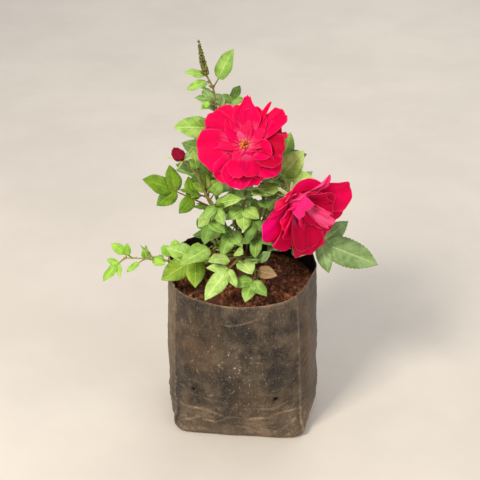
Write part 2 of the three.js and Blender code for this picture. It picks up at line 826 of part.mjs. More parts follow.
addSettled('bag', 'film', withDrainHoles(bagSpace(0, 0).subtract(bagSpace(bag.film, bag.floor))));
addSettled('soil', 'soil', toSolid(soilGeometry()));
addSettled('stem_foot', 'wood', footSolid());
for (const cane of canes.filter((one) => one.bare > 0)) {
  addSettled(`cane_${cane.name}`, 'green', toSolid(boughGeometry(cane)));
}
blooms.forEach((bloom, index) => addSettled(bloom.name, 'petals', bloomSolid(bloom, index)));
addSettled('flower_bud', 'budRed', budSolid());
addSettled('seed_spike', 'seeds', seedSpikeSolid());

// The leaves that show most take their places first, then the sprays fill in round them
const masses = canes.map((cane, index) => {
  const random = seeded(1009 + 97 * index);
  return { cane, random, solids: [leafyStem(cane)] };
});
masses.forEach(({ cane, solids }) => settle(solids[0], cane));
for (const { cane, random, solids } of masses) {
  solids.push(...leavesThatFit(cane, cane.leaves, random));
}
for (const { cane, random, solids } of masses) {
  const leaves = cane.sprays.flatMap((spray) => sprayLeaves(spray, random));
  solids.push(...leavesThatFit(cane, leaves, random));
}
for (const { cane, solids } of masses) {
  const whole = oneBody(solids.reduce((sum, solid) => sum.add(solid)));
  addPiece(`foliage_${cane.name}`, cane.name === 'left' ? 'shoot' : 'foliage', whole);
}

export default bush;
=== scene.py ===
# A young garden rose in its nursery bag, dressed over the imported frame.
# Shapes are worked out in millimetres, as in the part's source, and each mesh is scaled to metres.
import bisect
import math

import bmesh
import bpy
from mathutils import Matrix, Quaternion, Vector, noise
from mathutils.bvhtree import BVHTree


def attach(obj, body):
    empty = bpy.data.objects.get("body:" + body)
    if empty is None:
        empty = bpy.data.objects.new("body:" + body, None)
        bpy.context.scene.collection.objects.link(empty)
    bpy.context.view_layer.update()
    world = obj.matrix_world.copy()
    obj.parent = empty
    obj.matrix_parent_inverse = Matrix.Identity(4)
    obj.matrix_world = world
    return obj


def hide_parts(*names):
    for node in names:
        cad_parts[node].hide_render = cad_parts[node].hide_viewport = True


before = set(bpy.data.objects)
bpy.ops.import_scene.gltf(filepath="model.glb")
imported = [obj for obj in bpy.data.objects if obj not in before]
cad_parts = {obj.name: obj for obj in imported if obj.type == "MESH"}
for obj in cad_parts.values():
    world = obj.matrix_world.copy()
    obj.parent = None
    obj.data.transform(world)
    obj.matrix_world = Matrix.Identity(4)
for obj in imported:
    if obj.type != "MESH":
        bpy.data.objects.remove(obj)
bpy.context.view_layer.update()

scene = bpy.context.scene
upright = Vector((0, 0, 1))
aslant = Vector((1, 0.3, 0.2))  # along no stem or stalk
millimetre = 0.001
goldenTurn = 137.5  # degrees from one leaf or petal to the next


# Numbers and directions

def mix(low, high, share):
    return low + (high - low) * share


def ease(low, high, value):
    share = min(1, max(0, (value - low) / (high - low)))
    return share * share * (3 - 2 * share)


def bell(distance, width):
    return math.exp(-((distance / width) ** 2))


# The same draws every time, from 0 up to 1, as the part's source makes them
def seeded(seed):
    state = seed

    def draw():
        nonlocal state
        state = state * 48271 % 2147483647
        return state / 2147483647

    return draw


# Degrees about the upright from +X, and degrees above the level
def direction(heading, rise):
    flat = math.cos(math.radians(rise))
    across = math.radians(heading)
    return Vector((flat * math.cos(across), flat * math.sin(across), math.sin(math.radians(rise))))


def squaredTo(vector, axis):
    return (vector - axis * vector.dot(axis)).normalized()


# The way that lies at a turn, in radians, from the first of two towards the second
def around(first, second, turn):
    return first * math.cos(turn) + second * math.sin(turn)


def wander(x, y, z, scale):
    return noise.noise(Vector((x * scale, y * scale, z * scale)))


# A curve read by its length: where it is and where it points, from 0 to 1
class Route:
    def __init__(self, spot, steps=200):
        self.spot = spot
        self.reached = [0]
        last = spot(0)
        for k in range(1, steps + 1):
            point = spot(k / steps)
            self.reached.append(self.reached[-1] + (point - last).length)
            last = point
        self.length = self.reached[-1]

    def share(self, at):
        wanted = min(1, max(0, at)) * self.length
        steps = len(self.reached) - 1
        low = min(steps - 1, bisect.bisect_right(self.reached, wanted) - 1)
        span = self.reached[low + 1] - self.reached[low]
        return min(1, (low + (wanted - self.reached[low]) / span) / steps)

    def at(self, at):
        return self.spot(self.share(at))

    def along(self, at):
        share = self.share(at)
        ahead = self.spot(min(1, share + 0.001))
        behind = self.spot(max(0, share - 0.001))
        return (ahead - behind).normalized()


# A smooth line through points, with the ends carried straight on
def throughPoints(points):
    stops = [Vector(point) for point in points]
    stops = [stops[0] * 2 - stops[1], *stops, stops[-1] * 2 - stops[-2]]
    spans = len(points) - 1

    def spot(share):
        step = min(spans - 1, int(share * spans))
        t = share * spans - step
        before, start, end, after = stops[step:step + 4]
        leaving = (end - before) / 2
        arriving = (after - start) / 2
        square = (end - start) * 3 - leaving * 2 - arriving
        cube = (start - end) * 2 + leaving + arriving
        return start + leaving * t + square * t ** 2 + cube * t ** 3

    return Route(spot)


def bowed(start, middle, end):
    return Route(lambda t: start * (1 - t) ** 2 + middle * (2 * t * (1 - t)) + end * t ** 2)


# Mesh making

# An empty mesh with its map and the values that its materials read
def newShape(*values):
    bm = bmesh.new()
    bm.loops.layers.uv.new("UVMap")
    for name in values:
        bm.verts.layers.float.new(name)
    return bm


# A grid of faces whose corners go where place(across, along) says, both from 0 to 1
def sheet(bm, columns, rows, place, material=0):
    made = bmesh.ops.create_grid(bm, x_segments=columns, y_segments=rows, size=0.5)["verts"]
    spots = {vert: (vert.co.x + 0.5, vert.co.y + 0.5) for vert in made}
    uvMap = bm.loops.layers.uv.active
    for face in {face for vert in made for face in vert.link_faces}:
        face.material_index = material
        face.smooth = True
        for loop in face.loops:
            loop[uvMap].uv = spots[loop.vert]
    for vert, (across, along) in spots.items():
        vert.co = place(across, along)
    return spots


# A closed tube along a route, whose radius may change on the way and round it
def tube(bm, route, start, end, radius, sides, rows, material=0):
    rings = []
    normal = aslant
    for k in range(rows + 1):
        at = mix(start, end, k / rows)
        along = route.along(at)
        normal = squaredTo(normal, along)
        rings.append((route.at(at), normal, normal.cross(along), at))

    def place(across, along):
        row = round(along * (rows + 2)) - 1
        centre, first, second, at = rings[min(rows, max(0, row))]
        if row < 0 or row > rows:
            return centre
        turn = 2 * math.pi * across
        return centre + around(first, second, turn) * radius(at, turn)

    return sheet(bm, sides, rows + 2, place, material)


def setValue(bm, name, values):
    layer = bm.verts.layers.float[name]
    for vert, value in values.items():
        vert[layer] = value


# The finished mesh in metres
def meshOf(name, bm):
    bmesh.ops.scale(bm, vec=(millimetre, millimetre, millimetre), verts=bm.verts)
    mesh = bpy.data.meshes.new(name)
    bm.to_mesh(mesh)
    bm.free()
    return mesh


def makePiece(name, bm, materials, replaced, closed=True):
    bmesh.ops.remove_doubles(bm, verts=bm.verts, dist=0.001)
    if closed:
        bmesh.ops.recalc_face_normals(bm, faces=bm.faces)
    mesh = meshOf(name, bm)
    for material in materials:
        mesh.materials.append(material)
    piece = bpy.data.objects.new(name, mesh)
    scene.collection.objects.link(piece)
    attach(piece, "root")
    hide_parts(*replaced)
    return piece


# A wall behind every face, whose back and rim may have materials further down the piece's list
def addWall(piece, name, film, back=0, rim=0):
    wall = piece.modifiers.new(name, "SOLIDIFY")
    wall.thickness = film * millimetre
    wall.offset = -1
    wall.material_offset = back
    wall.material_offset_rim = rim


# Material making

# A colour as a picture shows it, 0 to 255, turned to the light it stands for
def tint(red, green, blue):
    shares = [value / 255 for value in (red, green, blue)]
    light = [share / 12.92 if share < 0.04045 else ((share + 0.055) / 1.055) ** 2.4 for share in shares]
    return (*light, 1)


def plug(tree, value, socket):
    if isinstance(value, bpy.types.NodeSocket):
        tree.links.new(value, socket)
    else:
        socket.default_value = value


def calc(tree, operation, *values, clamp=False):
    node = tree.nodes.new("ShaderNodeMath")
    node.operation = operation
    node.use_clamp = clamp
    for value, socket in zip(values, node.inputs):
        plug(tree, value, socket)
    return node.outputs[0]


# A start and what is added to it, each value times its weight
def total(tree, *parts, start=0.0, clamp=False):
    for value, weight in parts:
        start = calc(tree, "MULTIPLY_ADD", value, weight, start, clamp=clamp)
    return start


# A value from low to high made into a share from 0 to 1
def between(tree, value, low, high):
    node = tree.nodes.new("ShaderNodeMapRange")
    node.interpolation_type = "SMOOTHSTEP"
    plug(tree, value, node.inputs["Value"])
    node.inputs["From Min"].default_value = low
    node.inputs["From Max"].default_value = high
    return node.outputs["Result"]


def blend(tree, share, first, second):
    node = tree.nodes.new("ShaderNodeMix")
    node.data_type = "RGBA"
    plug(tree, share, node.inputs[0])
    plug(tree, first, node.inputs[6])
    plug(tree, second, node.inputs[7])
    return node.outputs[2]


def readValue(tree, name):
    node = tree.nodes.new("ShaderNodeAttribute")
    node.attribute_name = name
    return node.outputs["Fac"]


def newGroup(name, inputs, outputs):
    group = bpy.data.node_groups.new(name, "ShaderNodeTree")
    for label, value in inputs.items():
        socket = group.interface.new_socket(label, in_out="INPUT", socket_type="NodeSocketFloat")
        socket.default_value = value
    for label in outputs:
        group.interface.new_socket(label, in_out="OUTPUT", socket_type="NodeSocketFloat")
    return group, group.nodes.new("NodeGroupInput").outputs, group.nodes.new("NodeGroupOutput").inputs


def useGroup(tree, group, **values):
    node = tree.nodes.new("ShaderNodeGroup")
    node.node_tree = group
    for label, value in values.items():
        plug(tree, value, node.inputs[label])
    return node.outputs


# Where a material is on its own map: across it, along it, and how far aside of its middle line
def onMap(tree):
    parts = tree.nodes.new("ShaderNodeSeparateXYZ")
    plug(tree, tree.nodes.new("ShaderNodeUVMap").outputs["UV"], parts.inputs[0])
    aside = calc(tree, "ABSOLUTE", calc(tree, "SUBTRACT", parts.outputs["X"], 0.5))
    return parts.outputs["X"], parts.outputs["Y"], aside


# Soft patches over the object, as wide as one part in Size of a metre, drawn out along the
# upright where rise is under 1
def makePatches(name, size, detail, roughness, rise=1.0):
    tree, given, result = newGroup(name, {"Size": size, "Low": 0.4, "High": 0.6}, ["Share"])
    drawn = tree.nodes.new("ShaderNodeMapping")
    drawn.inputs["Scale"].default_value = (1, 1, rise)
    texture = tree.nodes.new("ShaderNodeTexNoise")
    texture.inputs["Detail"].default_value = detail
    texture.inputs["Roughness"].default_value = roughness
    spread = tree.nodes.new("ShaderNodeMapRange")
    plug(tree, tree.nodes.new("ShaderNodeTexCoord").outputs["Object"], drawn.inputs["Vector"])
    plug(tree, drawn.outputs["Vector"], texture.inputs["Vector"])
    plug(tree, given["Size"], texture.inputs["Scale"])
    plug(tree, texture.outputs["Fac"], spread.inputs["Value"])
    plug(tree, given["Low"], spread.inputs["From Min"])
    plug(tree, given["High"], spread.inputs["From Max"])
    plug(tree, spread.outputs["Result"], result["Share"])
    return tree


# The ribs of a leaf on its own map: one midrib, and side ribs that lean towards the tip
def makeRibs():
    tree, given, result = newGroup("ribs", {"Pairs": 7, "Lean": 0.55}, ["Midrib", "Side", "Height"])
    across, along, aside = onMap(tree)
    midrib = between(tree, aside, 0.045, 0.012)
    leaning = calc(tree, "SUBTRACT", along, calc(tree, "MULTIPLY", aside, given["Lean"]))
    wave = calc(tree, "MULTIPLY", leaning, given["Pairs"])
    saw = calc(tree, "ABSOLUTE", calc(tree, "SUBTRACT", calc(tree, "FRACT", wave), 0.5))
    side = calc(tree, "MULTIPLY", between(tree, saw, 0.12, 0.02), between(tree, aside, 0.5, 0.3))
    plug(tree, midrib, result["Midrib"])
    plug(tree, side, result["Side"])
    plug(tree, total(tree, (saw, 1.2), (midrib, -1.0), (side, -0.5)), result["Height"])
    return tree


# The veins of a petal on its own map, which fan out from its claw
def makeFan():
    tree, given, result = newGroup("fan", {"Lines": 60, "Claw": 0.55}, ["Veins", "Claw", "EdgeHighlight", "Far"])
    across, along, aside = onMap(tree)
    joined = tree.nodes.new("ShaderNodeCombineXYZ")
    plug(tree, calc(tree, "MULTIPLY", across, given["Lines"]), joined.inputs["X"])
    plug(tree, calc(tree, "MULTIPLY", along, 3.0), joined.inputs["Y"])
    texture = tree.nodes.new("ShaderNodeTexNoise")
    texture.inputs["Scale"].default_value = 1
    texture.inputs["Detail"].default_value = 3
    plug(tree, joined.outputs[0], texture.inputs["Vector"])
    plug(tree, between(tree, texture.outputs["Fac"], 0.35, 0.7), result["Veins"])
    faded = calc(tree, "DIVIDE", along, given["Claw"])
    plug(tree, calc(tree, "SUBTRACT", 1.0, faded, clamp=True), result["Claw"])
    plug(tree, between(tree, along, 0.3, 0.95), result["Far"])
    # the petal's rim, where its material paints a highlight
    sides = calc(tree, "MULTIPLY", between(tree, aside, 0.46, 0.5), along)
    plug(tree, calc(tree, "MAXIMUM", sides, between(tree, along, 0.965, 1.0)), result["EdgeHighlight"])
    return tree


mottle = makePatches("mottle", 40, 5, 0.6)
streaks = makePatches("streaks", 200, 4, 0.5, rise=0.09)
ribs = makeRibs()
fan = makeFan()


def newMaterial(name, roughness, **fixed):
    material = bpy.data.materials.new(name)
    material.use_nodes = True
    tree = material.node_tree
    shader = tree.nodes["Principled BSDF"]
    shader.inputs["Roughness"].default_value = roughness
    for label, value in fixed.items():
        shader.inputs[label.replace("_", " ")].default_value = value
    return material, tree, shader.inputs


def addBump(tree, shader, height, distance, strength=1.0):
    node = tree.nodes.new("ShaderNodeBump")
    node.inputs["Distance"].default_value = distance
    node.inputs["Strength"].default_value = strength
    plug(tree, height, node.inputs["Height"])
    plug(tree, node.outputs["Normal"], shader["Normal"])


# Camera, floor and light

studio = {
    "camera": (-0.001, -0.9712, 0.6874),
    "tilt": 62,
    "lens": 94.575,
    "aim": (0, 0, 0.16),
    "floor": (216, 207, 195),
    "floorPatches": 0.94,
    "key": {"place": (-0.75, -0.95, 1.35), "size": 0.45, "power": 26, "colour": (1, 0.93, 0.82)},
    "fill": {"place": (0.9, -1.1, 0.9), "size": 1.6, "power": 8, "colour": (1, 0.95, 0.88)},
    "back": {"place": (0.5, 1.2, 1.2), "size": 1.2, "power": 8, "colour": (1, 0.97, 0.92)},
    "sky": (0.9, 0.93, 1, 1),
    "skyStrength": 0.55,
}


def makeLight(name, place, size, power, colour):
    light = bpy.data.lights.new(name, "AREA")
    light.size = size
    light.energy = power
    light.color = colour
    lamp = bpy.data.objects.new(name, light)
    lamp.location = place
    lamp.rotation_euler = (Vector(studio["aim"]) - Vector(place)).to_track_quat("-Z", "Y").to_euler()
    scene.collection.objects.link(lamp)


def makeStudio():
    camera = bpy.data.objects.new("camera", bpy.data.cameras.new("camera"))
    camera.data.lens = studio["lens"]
    camera.data.sensor_width = 36
    camera.location = studio["camera"]
    camera.rotation_euler = (math.radians(studio["tilt"]), 0, 0)
    scene.collection.objects.link(camera)
    scene.camera = camera
    for name in ("key", "fill", "back"):
        makeLight(name, **studio[name])
    world = bpy.data.worlds.new("studio")
    world.use_nodes = True
    sky = world.node_tree.nodes["Background"].inputs
    sky["Color"].default_value = studio["sky"]
    sky["Strength"].default_value = studio["skyStrength"]
    scene.world = world
    scene.view_settings.view_transform = "Standard"
    material, tree, shader = newMaterial("floor", 0.7)
    patches = useGroup(tree, mottle, Size=6)["Share"]
    pale = tint(*studio["floor"])
    darker = (*[value * studio["floorPatches"] for value in pale[:3]], 1)
    plug(tree, blend(tree, patches, pale, darker), shader["Base Color"])
    bm = bmesh.new()
    bmesh.ops.create_grid(bm, x_segments=4, y_segments=4, size=12)
    mesh = bpy.data.meshes.new("floor")
    bm.to_mesh(mesh)
    bm.free()
    mesh.materials.append(material)
    floor = bpy.data.objects.new("floor", mesh)
    scene.collection.objects.link(floor)


makeStudio()
print("studio ready")


# The bag: one closed skin of film, up the outside, over the rim and down the inside

# Headings are in degrees about the upright. A crease has its heading and the way its side panel lies,
# a corner how far it stands out, a slump or a panel how far and how wide, a hole its height, and a
# stain its width, height, depth, share, and how far past its middle it ends sharply
bag = {
    "film": 0.6,
    "floor": 1.4,
    "turn": -6,  # of the whole bag about the upright
    "base": {"x": 3, "y": 1, "half": 57, "depth": 54.5, "square": 8},
    "mouth": {"x": 0, "y": 1, "half": 65, "depth": 60, "square": 2.5},
    "fullAt": 22,  # the height where its plan has opened out from its folded base
    "filledSquare": 3.2,
    "bulge": 1.5,
    "rimBack": 147,
    "rimFront": 139,
    "footRound": 3,
    "soilTop": 130,
    "columns": 288,
    "wallRows": 168,
    "innerTop": 112,
    "innerHeights": (104, 92, 80, 66, 54, 44, 36, 28, 20, 12, 6),
    "perDegree": 1.05,  # millimetres along the film
    "creases": [(213, -1), (314, 1), (34, -1), (136, 1)],
    "corners": [(217, 2.2), (317, 3), (36, 2), (140, 2)],
    "slumps": [(350, 1.6, 26), (190, 1.4, 20), (100, 1, 30)],
    "panels": [(333, -2.4, 12), (357, 1.4, 8), (191, -2, 12), (166, 1.4, 8), (80, -1.5, 30)],
    "holes": [(230, 50), (295, 45), (0, 75), (3, 60), (180, 62), (48, 52), (118, 46)],
    "holeRadius": 1.75,
    "stains": [(236, 20, 98, 24, 0.7, 15), (287, 22, 42, 12, 0.5, 180), (80, 25, 88, 26, 0.6, 180)],
    "brownPanel": (327, 11),
    "scuffs": (263, 17, 78, 26),
    # Each side's dark film colour, and its pale colour, which shows dust and painted highlights
    "outside": ((30, 26, 23), (152, 129, 102)),
    "inside": ((22, 20, 19), (64, 54, 46)),
    "stainColour": (112, 84, 57),
    "fleckColour": (206, 196, 178),
    # the colour of the painted shade round the holes
    "holeShadeColour": (20, 17, 15),
}

# Folds of the slack film: how deep and wide each is, how strong its pale line is, which is partly dust
# and partly painted highlight, and its line by heading and height
folds = [
    (0.9, 1.2, 0.9, [(212, 31), (224, 30), (238, 31), (246, 28), (254, 25)]),
    (0.8, 1.1, 1.0, [(238, 20), (247, 19), (256, 25), (272, 23.5), (288, 26), (300, 31), (312, 30)]),
    (0.7, 1.3, 0.7, [(264, 15), (280, 13), (294, 11), (305, 17), (315, 26), (326, 31)]),
    (0.6, 1.2, 0.5, [(212, 50), (222, 49), (232, 44), (244, 41), (256, 40)]),
    (0.6, 1.5, 0.4, [(290, 52), (302, 57), (311, 64), (322, 74), (334, 80)]),
    (0.5, 1.1, 0.5, [(262, 33), (276, 36), (291, 35), (304, 41)]),
    (0.5, 1.1, 0.6, [(216, 12), (226, 16), (233, 22)]),
    (0.7, 1.2, 0.7, [(210, 20), (218, 10), (227, 4)]),
    (0.7, 1.2, 0.7, [(322, 22), (317, 11), (308, 5)]),
    (0.35, 1, 0.9, [(249, 121), (258, 119.5), (268, 121), (283, 127)]),
    (0.5, 1.6, 0.2, [(268, 96), (277, 90), (290, 88)]),
    (0.8, 1.4, 0.7, [(340, 33), (351, 29), (3, 34), (16, 36), (28, 31)]),
    (0.6, 1.2, 0.6, [(345, 19), (357, 23), (8, 20), (28, 18), (40, 24)]),
    (0.9, 1.4, 0.8, [(40, 27), (58, 31), (74, 27), (92, 34), (110, 29), (130, 30)]),
    (0.6, 1.2, 0.6, [(50, 15), (70, 19), (88, 13), (116, 19)]),
    (0.6, 1.2, 0.5, [(62, 44), (84, 41), (104, 47), (124, 43)]),
    (0.8, 1.4, 0.7, [(142, 34), (158, 28), (172, 33), (186, 29), (202, 32)]),
    (0.6, 1.2, 0.6, [(148, 18), (166, 22), (184, 15), (204, 21)]),
    (0.6, 1.5, 0.3, [(118, 62), (130, 57), (146, 66)]),
]


def bagPlan(angle, z):
    turned = angle - math.radians(bag["turn"])
    share = 1 - (1 - min(1, max(0, z) / bag["fullAt"])) ** 2
    level = z / bag["rimBack"]
    half = mix(bag["base"]["half"], bag["mouth"]["half"], share)
    depth = mix(bag["base"]["depth"], bag["mouth"]["depth"], share)
    filled = mix(bag["filledSquare"], bag["mouth"]["square"], level)
    square = mix(bag["base"]["square"], filled, share)
    across = (abs(math.cos(turned)) / half) ** square
    back = (abs(math.sin(turned)) / depth) ** square
    return (across + back) ** (-1 / square) + bag["bulge"] * math.sin(math.pi * level)


def turnBetween(heading, other):
    return (heading - other + 180) % 360 - 180


# How far two places on the film are from each other, in millimetres
def apart(heading, height, turn, rise):
    return math.hypot(turnBetween(heading, turn) * bag["perDegree"], height - rise)


# How far a place on the film lies from a fold's line, in millimetres
def farFrom(line, heading, height):
    nearest = 99
    for (startTurn, startRise), (endTurn, endRise) in zip(line, line[1:]):
        x = turnBetween(heading, startTurn) * bag["perDegree"]
        y = height - startRise
        spanX = turnBetween(endTurn, startTurn) * bag["perDegree"]
        spanY = endRise - startRise
        share = min(1, max(0, (x * spanX + y * spanY) / (spanX ** 2 + spanY ** 2)))
        nearest = min(nearest, math.hypot(x - share * spanX, y - share * spanY))
    return nearest


def nearFolds(heading, height):
    found = []
    for depth, width, dustAndHighlight, line in folds:
        low = min(point[1] for point in line) - 6 * width
        high = max(point[1] for point in line) + 6 * width
        if low < height < high:
            found.append((depth, width, dustAndHighlight, farFrom(line, heading, height)))
    return found


# How far the film stands out from its plain plan
def bagRelief(heading, height):
    angle = math.radians(heading)
    x, y = 60 * math.cos(angle), 60 * math.sin(angle)
    out = 0.9 * wander(x, y, height, 0.035) + 0.35 * wander(x, y, height * 1.6, 0.11)
    lower = 1 - ease(30, 60, height)  # where the film has slumped into small crumples
    out += (0.2 + 0.5 * lower) * wander(x, y, height * 3, 0.09)
    for turn, way in bag["creases"]:
        past = turnBetween(heading, turn)
        out += 1.2 * max(0, 1 - abs(past) / 2.2) - bell(way * past - 5, 4.5)
    for depth, width, dustAndHighlight, away in nearFolds(heading, height):
        slack = max(0.1, 0.65 + 1.5 * wander(heading, height, 40 * depth, 0.07))
        out += slack * depth * (0.7 * bell(away - 2 * width, width) - bell(away, width))
    for turn, stand in bag["corners"]:
        out += stand * bell(turnBetween(heading, turn), 7) * (1 - ease(2, 16, height))
    for turn, stand, wide in bag["slumps"]:
        out += stand * bell(turnBetween(heading, turn), wide) * bell(height - 24, 20)
    mouth = ease(80, 140, height)
    for turn, stand, wide in bag["panels"]:
        out += stand * bell(turnBetween(heading, turn), wide) * mouth
    for turn, rise in bag["holes"]:
        away = apart(heading, height, turn, rise)
        if away < 6:  # a ragged lip
            out += (0.5 + 0.5 * wander(heading, rise, height, 0.9)) * bell(away - 2.3, 0.8)
    return out * ease(-1, 5, height)


def rimHeight(angle):
    front = max(0, -math.sin(angle)) ** 1.5
    flutter = 0.7 * noise.noise(Vector((math.cos(angle) * 5, math.sin(angle) * 5, 4)))
    flutter -= 1.4 * bell(turnBetween(math.degrees(angle), 262), 16)
    return mix(bag["rimBack"], bag["rimFront"], front) + flutter


# The middle of the bag at a level of its plan, which moves from base to mouth
def bagMiddle(z, height):
    level = z / bag["rimBack"]
    x = mix(bag["base"]["x"], bag["mouth"]["x"], level)
    y = mix(bag["base"]["y"], bag["mouth"]["y"], level)
    return Vector((x, y, height))


# A point of the film: its angle, its share of the way out, how far inside, and its level
def bagPoint(angle, share, inset, z):
    lift = min(1, max(0, (z - bag["soilTop"]) / (bag["rimBack"] - bag["soilTop"])))
    height = z + lift * (rimHeight(angle) - bag["rimBack"])
    radius = share * bagPlan(angle, z) - inset
    if share == 1:
        radius += bagRelief(math.degrees(angle) % 360, height)
    out = Vector((math.cos(angle), math.sin(angle), 0))
    return bagMiddle(z, height) + out * max(0, radius)


# The bag's section from under its floor to inside it, as share, inset and level
def bagProfile():
    foot = bag["footRound"]
    profile = [(share, share * foot, 0) for share in (0, 0.3, 0.6, 0.85, 0.95)]
    for turn in (0, 0.5, 1.0, 1.4):
        profile.append((1, foot * (1 - math.sin(turn)), foot * (1 - math.cos(turn))))
    rows = bag["wallRows"]
    profile += [(1, 0, mix(foot + 0.6, bag["rimBack"] - 0.5, k / rows)) for k in range(rows + 1)]
    profile += [(1, 0.1, bag["rimBack"] - 0.1), (1, bag["film"] - 0.1, bag["rimBack"] - 0.1)]
    profile += [(1, bag["film"], mix(bag["rimBack"] - 0.5, bag["innerTop"], k / 24)) for k in range(25)]
    profile += [(1, bag["film"] + 1.8, z) for z in bag["innerHeights"]]
    profile += [(1, foot + 3, bag["floor"]), (0.5, 0, bag["floor"]), (0, 0, bag["floor"])]
    return profile


def filmMaterial(name, dark, paleDustAndHighlight):
    material, tree, shader = newMaterial(name, 0.5, Specular_IOR_Level=0.3)
    clouds = useGroup(tree, mottle, Size=24, Low=0.46, High=0.6)["Share"]
    patches = useGroup(tree, mottle, Size=95, Low=0.44, High=0.64)["Share"]
    grit = useGroup(tree, mottle, Size=900, Low=0.46, High=0.6)["Share"]
    runs = useGroup(tree, streaks, Size=900, Low=0.55, High=0.7)["Share"]
    # The film turns pale with dust and with the painted highlights of the rim, folds and creases, and
    # dark in the painted shade beside the creases
    dustAndPaintedLight = (readValue(tree, "dustAndPaintedLight"), total(tree, (patches, 0.3), (grit, 0.3), start=0.4))
    share = total(tree, (clouds, 0.15), (patches, 0.12), (grit, 0.12), (runs, 0.15), dustAndPaintedLight, clamp=True)
    colour = blend(tree, share, tint(*dark), tint(*paleDustAndHighlight))
    grime = useGroup(tree, mottle, Size=60, Low=0.3, High=0.6)["Share"]
    brown = calc(tree, "MULTIPLY", readValue(tree, "stain"), grime)
    colour = blend(tree, calc(tree, "MULTIPLY", brown, 0.7), colour, tint(*bag["stainColour"]))
    flecks = useGroup(tree, mottle, Size=380, Low=0.62, High=0.67)["Share"]
    specks = calc(tree, "MULTIPLY", flecks, readValue(tree, "scuff"))
    colour = blend(tree, calc(tree, "MULTIPLY", specks, 0.8), colour, tint(*bag["fleckColour"]))
    # painted shade round the holes
    colour = blend(tree, readValue(tree, "holeShade"), colour, tint(*bag["holeShadeColour"]))
    plug(tree, colour, shader["Base Color"])
    plug(tree, total(tree, (share, 0.5), start=0.38), shader["Roughness"])
    addBump(tree, shader, total(tree, (grit, 0.35), (patches, 1.2), start=runs), 0.0004, 0.5)
    return material


# Dust lies low down. A painted highlight runs along the rim, down the lit front-left side and on each
# crease, with painted shade in a strip beside each crease, and the pale line in each fold is partly dust
# and partly painted highlight
def dustAndPaintedLightOn(heading, height):
    dustAndPaintedLight = 0.34 * (1 - ease(6, 44, height)) + 0.3 * (1 - ease(4, 16, height))
    # a painted highlight along the rim
    dustAndPaintedLight += 0.6 * bell(height - rimHeight(math.radians(heading)), 1.6)
    # the pale line in each fold: partly dust, partly painted highlight
    for depth, width, dustAndHighlight, away in nearFolds(heading, height):
        broken = max(0.1, 0.45 + 1.7 * wander(heading, height * 2, 30 * depth, 0.08))
        dustAndPaintedLight += dustAndHighlight * broken * bell(away - 0.4, width * 0.5)
    # a painted highlight on each crease, and painted shade beside it
    for turn, way in bag["creases"]:
        past = turnBetween(heading, turn)
        dustAndPaintedLight += 0.8 * bell(past, 0.8) - 0.4 * bell(way * past + 2.4, 1.4)
    # a painted highlight down the lit front-left side
    dustAndPaintedLight += 0.4 * bell(turnBetween(heading, 203), 7) * ease(30, 60, height)
    return min(1, max(0, dustAndPaintedLight))


# Brown stains, and the side panel that is brown all over
def stainOn(heading, height):
    turn, wide = bag["brownPanel"]
    stain = bell(turnBetween(heading, turn), wide) * ease(30, 70, height)
    for turn, wide, rise, tall, share, end in bag["stains"]:
        across = turnBetween(heading, turn)
        stain += share * bell(across, wide) * (1 - ease(end, end + 4, across)) * bell(height - rise, tall)
    return min(1, stain)


# Pale flecks where the film has been rubbed
def scuffOn(heading, height):
    turn, wide, rise, tall = bag["scuffs"]
    return mix(0.25, 1, bell(turnBetween(heading, turn), wide) * bell(height - rise, tall))


# Painted shade round each hole, so that the opening reads dark
def holeShadeOn(heading, height):
    return max(bell(apart(heading, height, turn, rise), 2.6) for turn, rise in bag["holes"])


def makeBag():
    profile = bagProfile()
    looks = {"dustAndPaintedLight": dustAndPaintedLightOn, "stain": stainOn, "scuff": scuffOn, "holeShade": holeShadeOn}
    bm = newShape(*looks)

    def place(across, along):
        share, inset, z = profile[round(along * (len(profile) - 1))]
        return bagPoint(-math.pi + 2 * math.pi * across, share, inset, z)

    lastRow = len(profile) - 1
    spots = sheet(bm, bag["columns"], lastRow, place)
    for name, valueOn in looks.items():
        values = {vert: valueOn(across * 360 - 180, vert.co.z) for vert, (across, along) in spots.items()}
        setValue(bm, name, values)
    outside = filmMaterial("filmOutside", *bag["outside"])
    inside = filmMaterial("filmInside", *bag["inside"])
    innerFrom = next(k for k, (share, inset, z) in enumerate(profile) if inset == bag["film"] - 0.1)
    for face in bm.faces:
        rows = [round(spots[vert][1] * lastRow) for vert in face.verts]
        if min(rows) >= innerFrom:
            face.material_index = 1
    punchHoles(makePiece("bag_film", bm, [outside, inside], ["bag"]))


# Small torn holes, cut through the wall where water drains
def punchHoles(piece):
    bm = bmesh.new()
    radius = bag["holeRadius"]
    draw = seeded(77)
    for heading, height in bag["holes"]:
        out = direction(heading, 0)
        centre = bagMiddle(height, height) + out * bagPlan(math.radians(heading), height)
        made = bmesh.ops.create_cone(
            bm, cap_ends=True, segments=9, radius1=radius, radius2=radius, depth=9,
        )["verts"]
        for vert in made:
            wide = 0.8 + 0.4 * draw()
            vert.co.x *= wide
            vert.co.y *= wide * 1.1
        turn = upright.rotation_difference(out).to_matrix().to_4x4()
        bmesh.ops.transform(bm, matrix=Matrix.Translation(centre) @ turn, verts=made)
    punch = bpy.data.objects.new("punch", meshOf("punch", bm))
    scene.collection.objects.link(punch)
    cut = piece.modifiers.new("holes", "BOOLEAN")
    cut.operation = "DIFFERENCE"
    cut.solver = "MANIFOLD"
    cut.object = punch
    bpy.context.view_layer.update()
    shown = piece.evaluated_get(bpy.context.evaluated_depsgraph_get())
    holed = bpy.data.meshes.new_from_object(shown)
    piece.modifiers.clear()
    piece.data = holed
    bpy.data.objects.remove(punch)


makeBag()
print("bag done")


# The peat: a lumpy bed inside the film, strewn with crumbs and fibres

